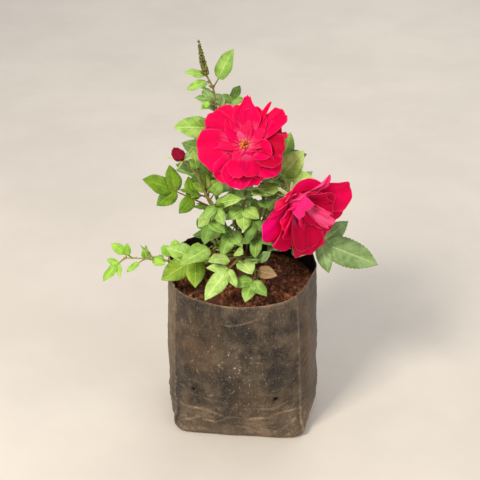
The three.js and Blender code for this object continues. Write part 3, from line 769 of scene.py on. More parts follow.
peat = {
    "edge": 127.5,
    "inset": 0.9,
    "floor": 2.2,
    "deepHeights": (10, 20, 30, 40, 50, 64, 80, 96, 112, 119),
    "columns": 120,
    "rows": 30,
    "crumbs": 1900,
    "fibres": 120,
    "colours": [(188, 104, 60), (134, 70, 38), (222, 140, 88)],
}


def peatHeight(x, y):
    away = math.hypot(x / 64, (y - 1) / 59)
    crown = mix(bag["soilTop"], peat["edge"], ease(0.4, 1, away))
    return crown + 1.3 * wander(x, y, 0, 0.09) + 0.9 * wander(x, y, 9, 0.3)


def peatMaterial(name, colour, dark):
    material, tree, shader = newMaterial(name, 0.92)
    grain = useGroup(tree, mottle, Size=900, Low=0.35, High=0.65)["Share"]
    patches = useGroup(tree, mottle, Size=120, Low=0.35, High=0.65)["Share"]
    share = total(tree, (grain, 0.6), (patches, 0.4))
    plug(tree, blend(tree, share, tint(*dark), tint(*colour)), shader["Base Color"])
    addBump(tree, shader, grain, 0.0008)
    return material


def makePeat():
    bm = newShape()
    inset = peat["inset"]
    deep = [(4.4, z) for z in peat["deepHeights"]]
    sides = [(8, peat["floor"]), *deep, (inset, 124), (inset, peat["edge"])]
    rows = peat["rows"]

    def place(across, along):
        row = round(along * (len(sides) + rows))
        angle = -math.pi + 2 * math.pi * across
        if row == 0:
            return bagMiddle(0, peat["floor"])
        if row <= len(sides):
            aside, z = sides[row - 1]
            return bagPoint(angle, 1, aside, z)
        edge = bagPoint(angle, 1, inset, peat["edge"])
        share = 1 - (row - len(sides)) / rows
        x, y = mix(0, edge.x, share), mix(1, edge.y, share)
        return Vector((x, y, peatHeight(x, y)))

    sheet(bm, peat["columns"], len(sides) + rows, place)
    shades = []
    for k, colour in enumerate(peat["colours"]):
        dark = [value * 0.34 for value in colour]
        shades.append(peatMaterial(f"peat{k}", colour, dark))
    makePiece("peat_bed", bm, [shades[1]], ["soil"])
    return shades


def onPeat(draw, reach):
    angle = 2 * math.pi * draw()
    share = math.sqrt(draw()) * reach
    edge = bagPoint(angle, 1, 2, peat["edge"])
    x, y = mix(0, edge.x, share), mix(1, edge.y, share)
    return Vector((x, y, peatHeight(x, y)))


def makeCrumbs(shades):
    draw = seeded(311)
    bm = bmesh.new()
    for k in range(peat["crumbs"]):
        centre = onPeat(draw, 0.97)
        size = 0.7 + 1.9 * draw() ** 2.4
        made = bmesh.ops.create_icosphere(bm, subdivisions=1, radius=1)["verts"]
        long, wide, thick = size * (1 + draw()), size * (0.7 + 0.5 * draw()), size * (0.5 + 0.4 * draw())
        stretch = Matrix.Diagonal((long, wide, thick, 1))
        turn = Quaternion([draw() - 0.5 for part in range(4)]).normalized().to_matrix().to_4x4()
        shift = Matrix.Translation(centre + upright * size * 0.25)
        bmesh.ops.transform(bm, matrix=shift @ turn @ stretch, verts=made)
        shade = int(draw() * 3)
        for face in {face for vert in made for face in vert.link_faces}:
            face.material_index = shade
    makePiece("peat_crumbs", bm, shades, ["soil"])


def makeFibres(shades):
    draw = seeded(613)
    bm = newShape()
    for k in range(peat["fibres"]):
        centre = onPeat(draw, 0.86)
        half = direction(360 * draw(), 20 * (draw() - 0.3)) * (3 + 6 * draw())
        start = centre - half + upright * 0.8
        end = centre + half + upright * 0.8
        middle = centre + Vector((4 * (draw() - 0.5), 4 * (draw() - 0.5), 1.5 + 2 * draw()))
        thick = 0.15 + 0.2 * draw()
        tube(bm, bowed(start, middle, end), 0, 1, lambda at, turn: thick * (1 - 0.5 * at), 4, 6)
    makePiece("peat_fibres", bm, [shades[2]], ["soil"])


peatShades = makePeat()
makeCrumbs(peatShades)
makeFibres(peatShades)
print("peat done")


# The canes, each with its line, its radii, where its bare wood ends, the leaves that show most and
# the seeded sprays that fill it all round. Some have leaves of the scene's own on finer twigs, and
# rings of small green buds, each with its place on the cane, its count and its reach

def leaf(at, heading, rise, reach, pairs, size, width=0.6, arch=0.12, face=(262, 50), side=1, tone="mid"):
    return {
        "at": at, "heading": heading, "rise": rise, "reach": reach, "pairs": pairs, "size": size,
        "width": width, "arch": arch, "face": face, "side": side, "tone": tone,
    }


# Leaves of one kind on a stretch of the cane: how many, the heading they keep round and their swing
def spray(stretch, count, turning, rise, reach, pairs, size, tones=("mid", "deep")):
    return {
        "stretch": stretch, "count": count, "turning": turning, "rise": rise, "reach": reach,
        "pairs": pairs, "size": size, "tones": tones,
    }


canes = [
    {
        "name": "bud",
        "line": [
            (2, 6.5, 138), (-8, 3, 165), (-22, -3, 199),
            (-29, -5, 215), (-38, -4, 236), (-47, -2, 246),
        ],
        "radii": (2.1, 1.1),
        "bare": 0.42,
        "leaves": [
            leaf(0.6, 190, 30, 67, 2, 26, arch=0, width=0.62, tone="rich"),
            leaf(0.66, 335, 55, 27, 0, 18, face=(290, 45)),
            leaf(0.62, 330, 17, 33, 0, 29, width=0.42, tone="lit"),
            leaf(0.83, 165, 75, 28, 0, 16),
            leaf(0.56, 235, -22, 25, 0, 22, face=(250, 25), tone="pale"),
            leaf(0.47, 242, -25, 28, 0, 24, face=(250, 25), tone="lit"),
            leaf(0.58, 258, -32, 38, 1, 19, arch=0.3, tone="deep"),
            leaf(0.7, 300, -30, 34, 1, 17, arch=0.3),
        ],
        "sprays": [spray((0.5, 0.86), 3, (95, 90), 25, 44, 1, 21)],
    },
    {
        "name": "upper",
        "line": [(4, 7, 140), (-1, 6, 170), (2, 5, 204), (7, 10, 228), (6, 12, 244), (5, 8, 252)],
        "radii": (2.3, 1.5),
        "bare": 0.2,
        "leaves": [
            leaf(0.62, 266, -32, 38, 1, 18, width=0.75, arch=0.3, tone="lit"),
            leaf(0.42, 242, -30, 40, 1, 20, arch=0.3),
            leaf(0.26, 312, -5, 34, 0, 20, arch=0.6, tone="pale"),
            leaf(0.8, 42, 35, 46, 1, 24),
        ],
        "sprays": [
            spray((0.4, 0.7), 2, (268, 70), 20, 30, 1, 16),
            spray((0.3, 0.86), 4, (95, 120), 20, 46, 1, 22),
        ],
    },
    {
        "name": "lower",
        "line": [
            (6, 7, 140), (12, 4, 165), (15, 1, 185), (18, -1, 208),
            (27, -3, 233), (37, -8, 230.5), (41, -15, 224.5),
        ],
        "radii": (2.1, 1.3),
        "bare": 0.27,
        "leaves": [
            leaf(0.55, 226, 29, 27, 0, 24, width=0.5),
            leaf(0.66, 245, 10, 26, 0, 22, width=0.65, face=(250, 45), tone="lit"),
            leaf(0.54, 250, -32, 38, 1, 17, arch=0.3, tone="deep"),
            leaf(0.42, 264, -30, 40, 1, 18, arch=0.3),
            leaf(0.4, 100, 30, 26, 0, 20),
        ],
        "sprays": [spray((0.34, 0.72), 3, (60, 110), 25, 44, 1, 21)],
        "fine": [
            leaf(0.94, 165, -30, 33, 0, 26, width=0.62, tone="lit"),
            leaf(0.62, 280, -10, 21, 0, 18, width=0.8, tone="deep"),
            leaf(0.74, 160, -10, 36, 0, 24, width=0.55),
        ],
    },
    {
        "name": "spike",
        "line": [
            (2, 10, 140), (-5, 19, 180), (-10, 22, 222), (-16, 19, 262),
            (-21, 13, 290), (-23, 14, 305), (-30, 15, 320),
        ],
        "radii": (1.9, 0.9),
        "bare": 0.58,
        "leaves": [
            leaf(0.92, 0, 60, 37, 0, 27, width=0.52, arch=0),
            leaf(0.955, 205, -18, 22, 0, 19, width=0.42, tone="lit"),
            leaf(0.985, 197, 5, 19, 0, 16, width=0.46, tone="lit"),
            leaf(0.7, 198, -13, 42, 0, 32, width=0.62, arch=0.35, tone="lit"),
            leaf(0.72, 205, 12, 22, 0, 16),
            leaf(0.87, 202, -33, 15, 0, 9, tone="young"),
        ],
        "sprays": [spray((0.6, 0.84), 3, (70, 130), 20, 38, 1, 18)],
        "buds": [(0.837, 7, 3.6), (0.925, 5, 2.6), (0.985, 6, 2.8)],
    },
    {
        "name": "right",
        "line": [(7, 10, 140), (18, 13, 172), (28, 12, 205), (34, 9, 229)],
        "radii": (1.9, 1),
        "bare": 0.5,
        "leaves": [
            leaf(0.98, 347, 49, 35, 0, 31, width=0.66, arch=0, face=(262, 30), tone="pale"),
            leaf(0.93, 330, 8, 34, 0, 29, width=0.5, tone="pale"),
        ],
        "sprays": [spray((0.55, 0.9), 3, (50, 100), 15, 42, 1, 21, tones=("pale", "lit"))],
        "fine": [
            leaf(0.54, 248, -20, 22, 0, 16, width=0.6, tone="pale"),
            leaf(0.8, 255, -20, 24, 0, 15, width=0.6, tone="pale"),
        ],
    },
    {
        "name": "backLeft",
        "line": [(1, 12, 140), (-14, 30, 170), (-26, 43, 205), (-31, 48, 228)],
        "radii": (1.9, 0.9),
        "bare": 0.36,
        "leaves": [leaf(0.97, 110, 60, 34, 1, 24, arch=0)],
        "sprays": [spray((0.4, 0.9), 4, (110, 150), 15, 46, 2, 21)],
    },
    {
        "name": "backRight",
        "line": [(7, 12, 140), (18, 30, 170), (29, 41, 200), (36, 46, 222)],
        "radii": (1.9, 0.9),
        "bare": 0.36,
        "leaves": [leaf(0.97, 50, 60, 32, 1, 23, arch=0)],
        "sprays": [spray((0.4, 0.9), 4, (60, 150), 15, 46, 2, 21)],
    },
    {
        "name": "lowRight",
        "line": [(7, 6, 140), (28, 2, 160), (52, -4, 176)],
        "radii": (1.5, 1),
        "bare": 0,
        "leaves": [
            leaf(0.98, 345, -31, 74, 1, 52, width=0.5, arch=0.3, face=(235, 40), side=0.62, tone="grey"),
            leaf(0.6, 322, 4, 34, 0, 18, width=0.8, tone="pale"),
        ],
        "sprays": [spray((0.45, 0.8), 2, (30, 60), 20, 40, 1, 20)],
    },
    {
        "name": "left",
        "line": [
            (0, 6, 140), (-14, 5, 148), (-36, 0, 152),
            (-64, -6, 153.5), (-84, -10, 158), (-102, -14, 161),
        ],
        "radii": (1.4, 0.8),
        "bare": 0,
        "leaves": [
            leaf(0.985, 187, -48, 30, 1, 20, width=0.44, side=0.7, tone="young"),
            leaf(0.98, 350, 77, 15, 0, 12, face=(262, 20), tone="young"),
            leaf(0.93, 160, 25, 22, 0, 14, tone="young"),
            leaf(0.82, 195, -37, 21, 0, 14, width=0.42, tone="young"),
            leaf(0.8, 215, 65, 12, 0, 9, width=0.8, tone="young"),
            leaf(0.78, 334, -15, 15, 0, 12, tone="young"),
        ],
        "sprays": [spray((0.35, 0.7), 2, (110, 60), 15, 26, 0, 17, tones=("young",))],
    },
    {
        "name": "lowLeft",
        "line": [(2, 5, 141), (-8, -2, 156), (-20, -9, 169), (-26, -14, 172)],
        "radii": (1.5, 1),
        "bare": 0,
        "leaves": [
            leaf(0.8, 203, -20, 57, 1, 29, width=0.62, arch=0.05, tone="olive"),
            leaf(0.95, 223, -8, 38, 0, 33, width=0.48, arch=0.05, tone="lit"),
            leaf(0.7, 285, 16, 29, 1, 14),
            leaf(0.6, 295, 22, 39, 0, 15, tone="pale"),
        ],
        "sprays": [spray((0.5, 0.9), 2, (150, 60), 10, 40, 1, 21)],
    },
    {
        "name": "front",
        "line": [(4, 3, 142), (3, -10, 158), (-2, -24, 166), (-6, -34, 166)],
        "radii": (1.5, 1),
        "bare": 0,
        "leaves": [
            leaf(0.95, 228, -30, 47, 1, 35, width=0.46, side=0.6, tone="pale"),
            leaf(0.7, 221, 9, 39, 0, 25, width=0.5, face=(262, 60), tone="pale"),
            leaf(0.75, 290, -7, 29, 0, 18, width=0.75, tone="pale"),
            leaf(0.45, 318, 35, 35, 0, 24, width=0.42, face=(280, 60)),
            leaf(0.4, 250, 38, 30, 0, 18, arch=0.6),
        ],
        "sprays": [],
    },
    {
        "name": "frontRight",
        "line": [(6, 3, 142), (9, -14, 160), (11, -28, 162), (12, -38, 154)],
        "radii": (1.4, 0.9),
        "bare": 0,
        "leaves": [
            leaf(0.97, 245, -32, 27, 1, 20),
            leaf(0.75, 352, 38, 20, 0, 14, tone="grey"),
            leaf(0.85, 250, 40, 18, 0, 13),
            leaf(0.85, 325, -7, 22, 0, 18, tone="rust"),
        ],
        "sprays": [spray((0.5, 0.7), 1, (10, 30), 20, 36, 1, 18, tones=("grey",))],
    },
    {
        "name": "rear",
        "line": [(4, 12, 141), (5, 24, 155), (4, 40, 163), (3, 52, 163)],
        "radii": (1.5, 0.9),
        "bare": 0,
        "leaves": [leaf(0.97, 95, -15, 42, 1, 27)],
        "sprays": [spray((0.4, 0.85), 4, (90, 180), 5, 42, 1, 20)],
    },
]

for cane in canes:
    cane["stem"] = throughPoints(cane["line"])
    cane["slim"] = 0.7 if cane["bare"] == 0 else 0.8
    cane.setdefault("fine", [])
    cane.setdefault("buds", [])


def stemOf(name):
    return next(cane["stem"] for cane in canes if cane["name"] == name)


# Wood: the foot with the canes' stubs, the bare canes, and further on each mass's stems and stalks.
# A cane's own bark starts hidden inside the foot, and prickles are counted by the millimetre

wood = {
    "footCentre": (4, 8, 129.6),
    "footLean": (-0.5, -1, 12.6),
    "footHeights": [0, 3, 7, 12],
    "footRadii": [8, 6.4, 5.6, 4.8],
    "stub": 14,
    "hidden": 12,
    "prickles": 0.055,
}


def barkMaterial(name, old, young, cracked):
    material, tree, shader = newMaterial(name, 0.72)
    patches = useGroup(tree, mottle, Size=150, Low=0.35, High=0.65)["Share"]
    grain = useGroup(tree, streaks, Size=1400, Low=0.35, High=0.65)["Share"]
    share = total(tree, (patches, 0.35), start=readValue(tree, "age"), clamp=True)
    colour = blend(tree, share, tint(*young), tint(*old))
    colour = blend(tree, calc(tree, "MULTIPLY", grain, cracked), colour, tint(48, 36, 24))
    plug(tree, colour, shader["Base Color"])
    addBump(tree, shader, calc(tree, "ADD", grain, patches), 0.0005, 0.8)
    return material


# Each skin's old and young colours, and how much dark grain shows in it
skins = {
    "oldBark": ((118, 92, 60), (104, 104, 54), 0.65),
    "caneBark": ((124, 86, 50), (134, 138, 62), 0.3),
    "stalkSkin": ((150, 92, 62), (166, 172, 84), 0.12),
    "sepalSkin": ((180, 190, 120), (214, 220, 160), 0.1),
}
barks = {name: barkMaterial(name, *look) for name, look in skins.items()}


def footRadius(rise):
    stops = list(zip(wood["footHeights"], wood["footRadii"]))
    for (low, wide), (high, narrow) in zip(stops, stops[1:]):
        if rise <= high:
            return mix(wide, narrow, (rise - low) / (high - low))
    return stops[-1][1]


def makeFoot():
    bm = newShape("age")
    centre, lean = Vector(wood["footCentre"]), Vector(wood["footLean"])
    line = Route(lambda t: centre + lean * t, 20)

    def radius(at, turn):
        lumps = noise.noise(Vector((math.cos(turn), math.sin(turn), at)) * 2.5)
        ridges = 0.5 * math.sin(turn * 5 + 2 * at) + 0.9 * lumps
        return footRadius(at * wood["footHeights"][-1]) + ridges * 0.7 - 0.5 * ease(0.85, 1, at)

    spots = tube(bm, line, 0, 1, radius, 28, 18)
    setValue(bm, "age", {vert: 0.9 for vert in spots})
    for cane in canes:
        stub = wood["stub"]
        spots = tube(bm, cane["stem"], 0, stub / cane["stem"].length, caneRadius(cane), 12, 8)
        ages = {vert: 0.8 - 0.4 * ease(6, stub, along * stub) for vert, (across, along) in spots.items()}
        setValue(bm, "age", ages)
    makePiece("foot_bark", bm, [barks["oldBark"]], ["stem_foot"])


# A cane's radius on the way, with a swelling where a leaf leaves it
def caneRadius(cane):
    thick, thin = cane["radii"]
    length = cane["stem"].length
    knots = [one["at"] for one in cane["leaves"]]

    def radius(at, turn):
        swell = sum(0.2 * bell((at - knot) * length, 1.4) for knot in knots)
        rough = 0.05 * noise.noise(Vector((math.cos(turn) * 2, math.sin(turn) * 2, at * length * 0.3)))
        return mix(thick, thin, at) * cane["slim"] * (1 + min(0.2, swell) + rough)

    return radius


# Straight out from a stem at a turn about it, and along the stem
def outward(stem, at, turn):
    along = stem.along(at)
    first = squaredTo(aslant, along)
    return around(first, first.cross(along), turn), along


# A hooked prickle that leans down the cane
def addPrickle(bm, cane, at, turn, size, material):
    stem = cane["stem"]
    out, along = outward(stem, at, turn)
    thick = mix(*cane["radii"], at) * cane["slim"]
    base = stem.at(at) + out * thick * 0.6
    tip = base + out * (thick * 0.4 + size) - along * size * 0.35
    middle = (base + tip) / 2 + along * size * 0.2

    def radius(at, turn):
        return size * 0.34 * (1 - at) ** 1.4 + 0.03

    tube(bm, bowed(base, middle, tip), 0, 1, radius, 6, 5, material)


def addStem(bm, cane, start, end, sides, draw, material=0):
    stem = cane["stem"]
    rows = max(2, round((end - start) * stem.length / 1.6))
    spots = tube(bm, stem, start, end, caneRadius(cane), sides, rows, material)
    ages = {}
    for vert, (across, along) in spots.items():
        ages[vert] = 0.75 * (1 - ease(0.05, 0.7, mix(start, end, along)))
    setValue(bm, "age", ages)
    spines = round((end - start) * stem.length * wood["prickles"])
    for k in range(spines):
        at = mix(start, end, (k + draw()) / spines)
        addPrickle(bm, cane, min(0.95, at), 2 * math.pi * draw(), 1.6 + 0.8 * draw(), material)


def makeCanes():
    bm = newShape("age")
    draw = seeded(431)
    bare = [cane for cane in canes if cane["bare"] > 0]
    for cane in bare:
        addStem(bm, cane, wood["hidden"] / cane["stem"].length, cane["bare"], 12, draw)
    replaced = [f"cane_{cane['name']}" for cane in bare]
    makePiece("cane_bark", bm, [barks["caneBark"]], replaced)


makeFoot()
makeCanes()
print("wood done")


# Foliage: every leaf by the source's rule, in the same order of draws

# The tones lit and pale are lighter copies of mid that paint sunlight on the leaves that have them, and
# the tone deep is a darker copy that paints shade; the others are the leaves' own colours. Within each
# tone, top and deep are its colour and its darker patches, under its underside, and beside the tone its
# side leaflets may take
tones = {
    "mid": {"top": (146, 180, 84), "deep": (100, 138, 46), "under": (178, 200, 138), "beside": "deep"},
    "lit": {"top": (164, 198, 98), "deep": (122, 160, 58), "under": (188, 208, 146), "beside": "mid"},
    "pale": {"top": (182, 210, 118), "deep": (142, 178, 78), "under": (200, 218, 154), "beside": "lit"},
    "deep": {"top": (112, 148, 58), "deep": (74, 106, 32), "under": (152, 176, 112), "beside": "mid"},
    "rich": {"top": (112, 148, 22), "deep": (78, 112, 6), "under": (150, 176, 76), "beside": "rich"},
    "grey": {"top": (134, 160, 98), "deep": (98, 126, 66), "under": (172, 192, 138), "beside": "grey"},
    "young": {"top": (156, 200, 70), "deep": (124, 172, 46), "under": (184, 214, 120), "beside": "young"},
    "olive": {"top": (136, 164, 36), "deep": (100, 132, 24), "under": (170, 190, 96), "beside": "lit"},
    "rust": {"top": (158, 116, 84), "deep": (112, 100, 58), "under": (176, 142, 110), "beside": "rust"},
}
toneNames = list(tones)

# Leaves on finer twigs: how many are tried and kept in a mass, how near its solid one has to be and
# how far from the flowers, its reach, and its leaflets' share of that
fine = {"tries": 24, "most": 5, "near": 5, "clear": 3, "reach": (14, 26), "size": (0.5, 0.62)}

# A leaflet's bow, fold and teeth as shares of its size, its sunk root, its film and its grid of faces
blade = {
    "bow": 0.16, "sunk": 0.6, "fold": 0.11, "tooth": 0.03, "film": 0.3,
    "grid": (4, 24), "big": 40, "bigGrid": (6, 30),
}


def leafMaterial(name, top, deep, vein, roughness):
    material, tree, shader = newMaterial(name, roughness, Specular_IOR_Level=0.35)
    lines = useGroup(tree, ribs)
    patches = useGroup(tree, mottle, Size=110, Low=0.38, High=0.62)["Share"]
    colour = blend(tree, patches, tint(*top), tint(*deep))
    pale = total(tree, (lines["Midrib"], 0.42), (lines["Side"], 0.13))
    plug(tree, blend(tree, pale, colour, tint(*vein)), shader["Base Color"])
    addBump(tree, shader, lines["Height"], 0.0004, 0.35)
    return material


def leafMaterials():
    tops, unders = [], []
    for name, look in tones.items():
        vein = [min(255, value * 1.25 + 10) for value in look["top"]]
        tops.append(leafMaterial(f"leaf_{name}", look["top"], look["deep"], vein, 0.48))
        unders.append(leafMaterial(f"under_{name}", look["under"], look["top"], look["under"], 0.65))
    return tops + unders


# Where the leaflets of one leaf sit and point: the end one, then the side pairs
def leafletsOf(stem, one, draw):
    base = stem.at(one["at"])
    tip = base + direction(one["heading"], one["rise"]) * one["reach"]
    middle = (base + tip) / 2 + upright * one["arch"] * one["reach"]
    line = bowed(base, middle, tip)
    stalk = 1 - one["size"] / one["reach"]
    upward = direction(*one["face"])
    found = []

    def add(at, spread, size):
        forward = line.along(at)
        face = squaredTo(upward, forward)
        side = forward.cross(face)
        angle = math.radians(spread + 10 * (draw() - 0.5))
        tilt = math.radians(24 * (draw() - 0.5))
        length = size * (0.93 + 0.14 * draw())
        along = forward * math.cos(angle) + side * math.sin(angle)
        turned = squaredTo(face + side * math.tan(tilt), along)
        root = line.at(at) - along * blade["sunk"]
        found.append({
            "root": root, "along": along, "face": turned, "size": length + blade["sunk"],
            "width": one["width"],
        })

    add(stalk, 0, one["size"])
    for pair in range(one["pairs"]):
        at = stalk * (0.9 - 0.4 * pair if one["pairs"] > 1 else 0.82)
        size = one["size"] * (0.9 - 0.14 * pair) * one["side"]
        add(at, 58 + 8 * pair, size)
        add(at, -58 - 8 * pair, size)
    return line, stalk, found


def sprayLeaves(group, draw):
    leaves = []
    middle, swing = group["turning"]
    for k in range(group["count"]):
        at = mix(*group["stretch"], (k + 0.5) / group["count"])
        turn = (k * goldenTurn % 360) / 360 - 0.5
        heading = middle + swing * turn + 16 * (draw() - 0.5)
        rise = group["rise"] + 30 * (draw() - 0.5)
        reach = group["reach"] * (0.85 + 0.3 * draw())
        size = group["size"] * (0.85 + 0.3 * draw())
        width = 0.56 + 0.1 * draw()
        tone = group["tones"][k % len(group["tones"])]
        face = (heading, 50)
        leaves.append(leaf(at, heading, rise, reach, group["pairs"], size, width, face=face, tone=tone))
    return leaves


# A spot on a leaflet's midrib, from its root to its tip
def onBlade(one, t):
    return one["root"] + one["along"] * one["size"] * t


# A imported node's own mesh, to measure from in millimetres
def solidOf(name):
    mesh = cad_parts[name].data
    corners = [vert.co / millimetre for vert in mesh.vertices]
    return BVHTree.FromPolygons(corners, [face.vertices for face in mesh.polygons])


# The source leaves out a leaflet that would meet its neighbours, so the solid says which are there
def isThere(solid, one):
    for t in (0.3, 0.5, 0.7):
        lift = one["size"] * blade["bow"] * (t - t * t)
        if solid.find_nearest(onBlade(one, t) + one["face"] * lift)[3] > 0.9:
            return False
    return True


# Small leaves on finer twigs, which the source leaves to the scene, kept where the mass is and
# clear of the flowers
def fineLeaves(mass):
    cane, draw = mass["cane"], mass["look"]
    flowers = [solidOf(name) for name in ("bloom_upper", "bloom_lower", "flower_bud")]
    tone = cane["leaves"][0]["tone"]
    found = []
    for k in range(fine["tries"]):
        at = mix(max(0.3, cane["bare"]), 0.96, draw())
        reach = mix(*fine["reach"], draw())
        size = reach * mix(*fine["size"], draw())
        heading = 360 * draw()
        rise = mix(-10, 50, draw())
        one = leaf(at, heading, rise, reach, 1, size, 0.62, face=(heading, 50), tone=tone)
        parts = leafletsOf(cane["stem"], one, draw)
        leaflets = parts[2]
        centre = leaflets[0]["root"] + leaflets[0]["along"] * size / 2
        near = mass["solid"].find_nearest(centre)[3]
        spots = [onBlade(leaflet, t) for leaflet in leaflets for t in (0.3, 0.6, 1)]
        clear = min(flower.find_nearest(spot)[3] for flower in flowers for spot in spots)
        if near < fine["near"] and clear > fine["clear"] and len(found) < fine["most"]:
            found.append((one, parts))
    return found


# Half the width of a leaflet's outline, as a share, from its root to its tip
def bladeOutline(t):
    return max(0, math.sin(math.pi * t ** 0.75)) ** mix(0.55, 0.95, t ** 3)


# One leaflet: toothed, folded a little along its midrib and wavy at its edge
def addLeaflet(bm, one, material, draw):
    columns, rows = blade["bigGrid" if one["size"] > blade["big"] else "grid"]
    side = one["along"].cross(one["face"])
    phase = 6.3 * draw()
    wave = 0.03 + 0.03 * draw()

    def place(across, along):
        x = 2 * across - 1
        tooth = blade["tooth"] * (1 if round(along * rows) % 2 else -1) * (abs(x) > 0.9)
        half = one["size"] * one["width"] / 2 * bladeOutline(along) * (1 + tooth)
        rise = one["size"] * blade["bow"] * (along - along ** 2) + half * abs(x) * blade["fold"]
        rise += one["size"] * wave * x * x * math.sin(9 * along + phase) * math.sin(math.pi * along)
        forward = one["size"] * (along + max(0, tooth) * 0.25 * math.sin(math.pi * along))
        return one["root"] + one["along"] * forward + side * half * x + one["face"] * rise

    sheet(bm, columns, rows, place, material)


# The stalk that carries a leaf, its leaflets' own short stalks and their midribs
def addStalk(bm, line, stalk, found, blush):
    def thick(at, turn):
        return mix(0.8, 0.5, at / stalk) * (1 + 0.5 * bell(at, 0.04))

    spots = tube(bm, line, 0, stalk, thick, 8, 12)
    for one in found:
        def under(t):
            bow = one["size"] * blade["bow"] * (0.9 * t - 0.81 * t * t)
            return onBlade(one, t * 0.9) + one["face"] * (bow - 0.35)

        spots.update(tube(bm, Route(under, 12), 0, 1, lambda at, turn: mix(0.45, 0.12, at), 5, 7))
    setValue(bm, "age", {vert: blush for vert in spots})


# Below each flower, its hip's size and its sepals' width, with each one's turn, opening and length
hip = {"length": 6.5, "radius": 3.4}
carried = {
    "upper": {"size": 1, "wide": 4.5, "sepals": [(72 * k, 121, 13 + 1.2 * k) for k in range(5)]},
    "lower": {"size": 1, "wide": 4.5, "sepals": [(72 * k, 128, 13 + 1.2 * k) for k in range(5)]},
    "bud": {
        "size": 0.62,
        "wide": 2.8,
        "sepals": [(30, 70, 14), (102, 82, 13), (168, 40, 20), (264, 85, 14), (330, 92, 12)],
    },
}


def hipTop(stem, size):
    return stem.at(1) + stem.along(1) * (hip["length"] * size - 1)


# The green hip below a flower or bud, with its sepals
def addHip(bm, stem, look):
    size = look["size"]
    end, axis = stem.at(1), stem.along(1)
    top = hipTop(stem, size)
    line = Route(lambda t: end - axis + (top - end + axis) * t, 10)

    def radius(at, turn):
        return mix(1.2, hip["radius"] * size, ease(0, 0.75, at)) * (1 - 0.25 * ease(0.85, 1, at))

    spots = tube(bm, line, 0, 1, radius, 16, 10)
    aside = squaredTo(upright, axis)
    for turned, opened, length in look["sepals"]:
        out = Quaternion(axis, math.radians(turned)) @ aside
        along = out * math.sin(math.radians(opened)) + axis * math.cos(math.radians(opened))
        face = squaredTo(axis, along)
        root = top + out * 1.2 * size - axis * 1.2 * size
        half = look["wide"] / 2
        side = along.cross(face)

        def place(across, up):
            turn = 2 * math.pi * across
            wide = half * max(0, math.sin(math.pi * min(1, up * 0.9 + 0.1))) ** 0.8
            thick = (0.45 * (1 - up) + 0.12) * (0 < up < 1)
            centre = root + along * length * up - face * length * 0.12 * up ** 2
            return centre + around(side * wide, face * thick, turn)

        spots.update(sheet(bm, 8, 9, place, 1))
    setValue(bm, "age", {vert: 0 for vert in spots})


# A ring of small green buds round a shoot, each on its own short stalk
def addBuds(bm, stem, at, count, reach):
    def radius(at, turn):
        return 0.25 + 0.22 * reach * math.sin(math.pi * at ** 2)

    for k in range(count):
        out, along = outward(stem, at, 2 * math.pi * k / count)
        start = stem.at(at)
        end = start + (out + along * (0.3 + 0.5 * (k % 2))) * reach
        line = bowed(start, (start + end) / 2 + out * 0.4, end)
        spots = tube(bm, line, 0, 1, radius, 6, 8)
        setValue(bm, "age", {vert: 0.2 for vert in spots})


counts = []  # leaflets of each leaf


def addLeaf(mass, one, parts, kept):
    line, stalk, found = parts
    for leaflet in kept:
        tone = one["tone"]
        if leaflet is not kept[0] and mass["look"]() < 0.5:
            tone = tones[tone]["beside"]
        addLeaflet(mass["leaves"], leaflet, toneNames.index(tone), mass["look"])
    blush = 0.9 if one["tone"] == "rich" else 0.1 + 0.3 * mass["look"]()
    addStalk(mass["twigs"], line, stalk, kept, blush)
    counts.append(len(kept))


# The leaves that the source grows, first every mass's own and then every mass's sprays
def growLeaves(masses):
    for late in (False, True):
        for mass in masses:
            cane, draw = mass["cane"], mass["draw"]
            leaves = cane["leaves"]
            if late:
                leaves = [one for group in cane["sprays"] for one in sprayLeaves(group, draw)]
            for one in leaves:
                parts = leafletsOf(cane["stem"], one, draw)
                kept = [leaflet for leaflet in parts[2] if isThere(mass["solid"], leaflet)]
                if kept and kept[0] is parts[2][0]:
                    addLeaf(mass, one, parts, kept)


# What only the scene has: finer twigs' leaves, the stem's bark and prickles, bud rings and hips
def finishMass(mass):
    cane, twigs, look = mass["cane"], mass["twigs"], mass["look"]
    for one in cane["fine"]:
        parts = leafletsOf(cane["stem"], one, look)
        addLeaf(mass, one, parts, parts[2])
    for one, parts in fineLeaves(mass):
        addLeaf(mass, one, parts, parts[2])
    start = cane["bare"] if cane["bare"] > 0 else wood["hidden"] / cane["stem"].length
    addStem(twigs, cane, start, 1, 10, look)
    for at, count, reach in cane["buds"]:
        addBuds(twigs, cane["stem"], at, count, reach)
    if cane["name"] in carried:
        addHip(twigs, cane["stem"], carried[cane["name"]])


def makeFoliage():
    materials = leafMaterials()
    masses = []
    for index, cane in enumerate(canes):
        masses.append({
            "cane": cane,
            "draw": seeded(1009 + 97 * index),
            "look": seeded(5003 + 31 * index),
            "solid": solidOf(f"foliage_{cane['name']}"),
            "leaves": newShape(),
            "twigs": newShape("age"),
        })
    growLeaves(masses)
    for mass in masses:
        finishMass(mass)
        name = mass["cane"]["name"]
        mine = [f"foliage_{name}"]
        young = name == "left"
        piece = makePiece(f"leaves_{name}", mass["leaves"], materials, mine, closed=False)
        addWall(piece, "blade", blade["film"], len(toneNames), len(toneNames))
        twigSkins = [barks["stalkSkin" if young else "caneBark"], barks["sepalSkin"]]
        makePiece(f"twigs_{name}", mass["twigs"], twigSkins, mine)


makeFoliage()
print("foliage done:", len(counts), "leaves,", sum(counts), "leaflets")


# Blooms: each petal has its turn about the flower, counter-clockwise from the right as it is looked
# at, its length and width, and how far it leans out at its root and at its edge, in degrees

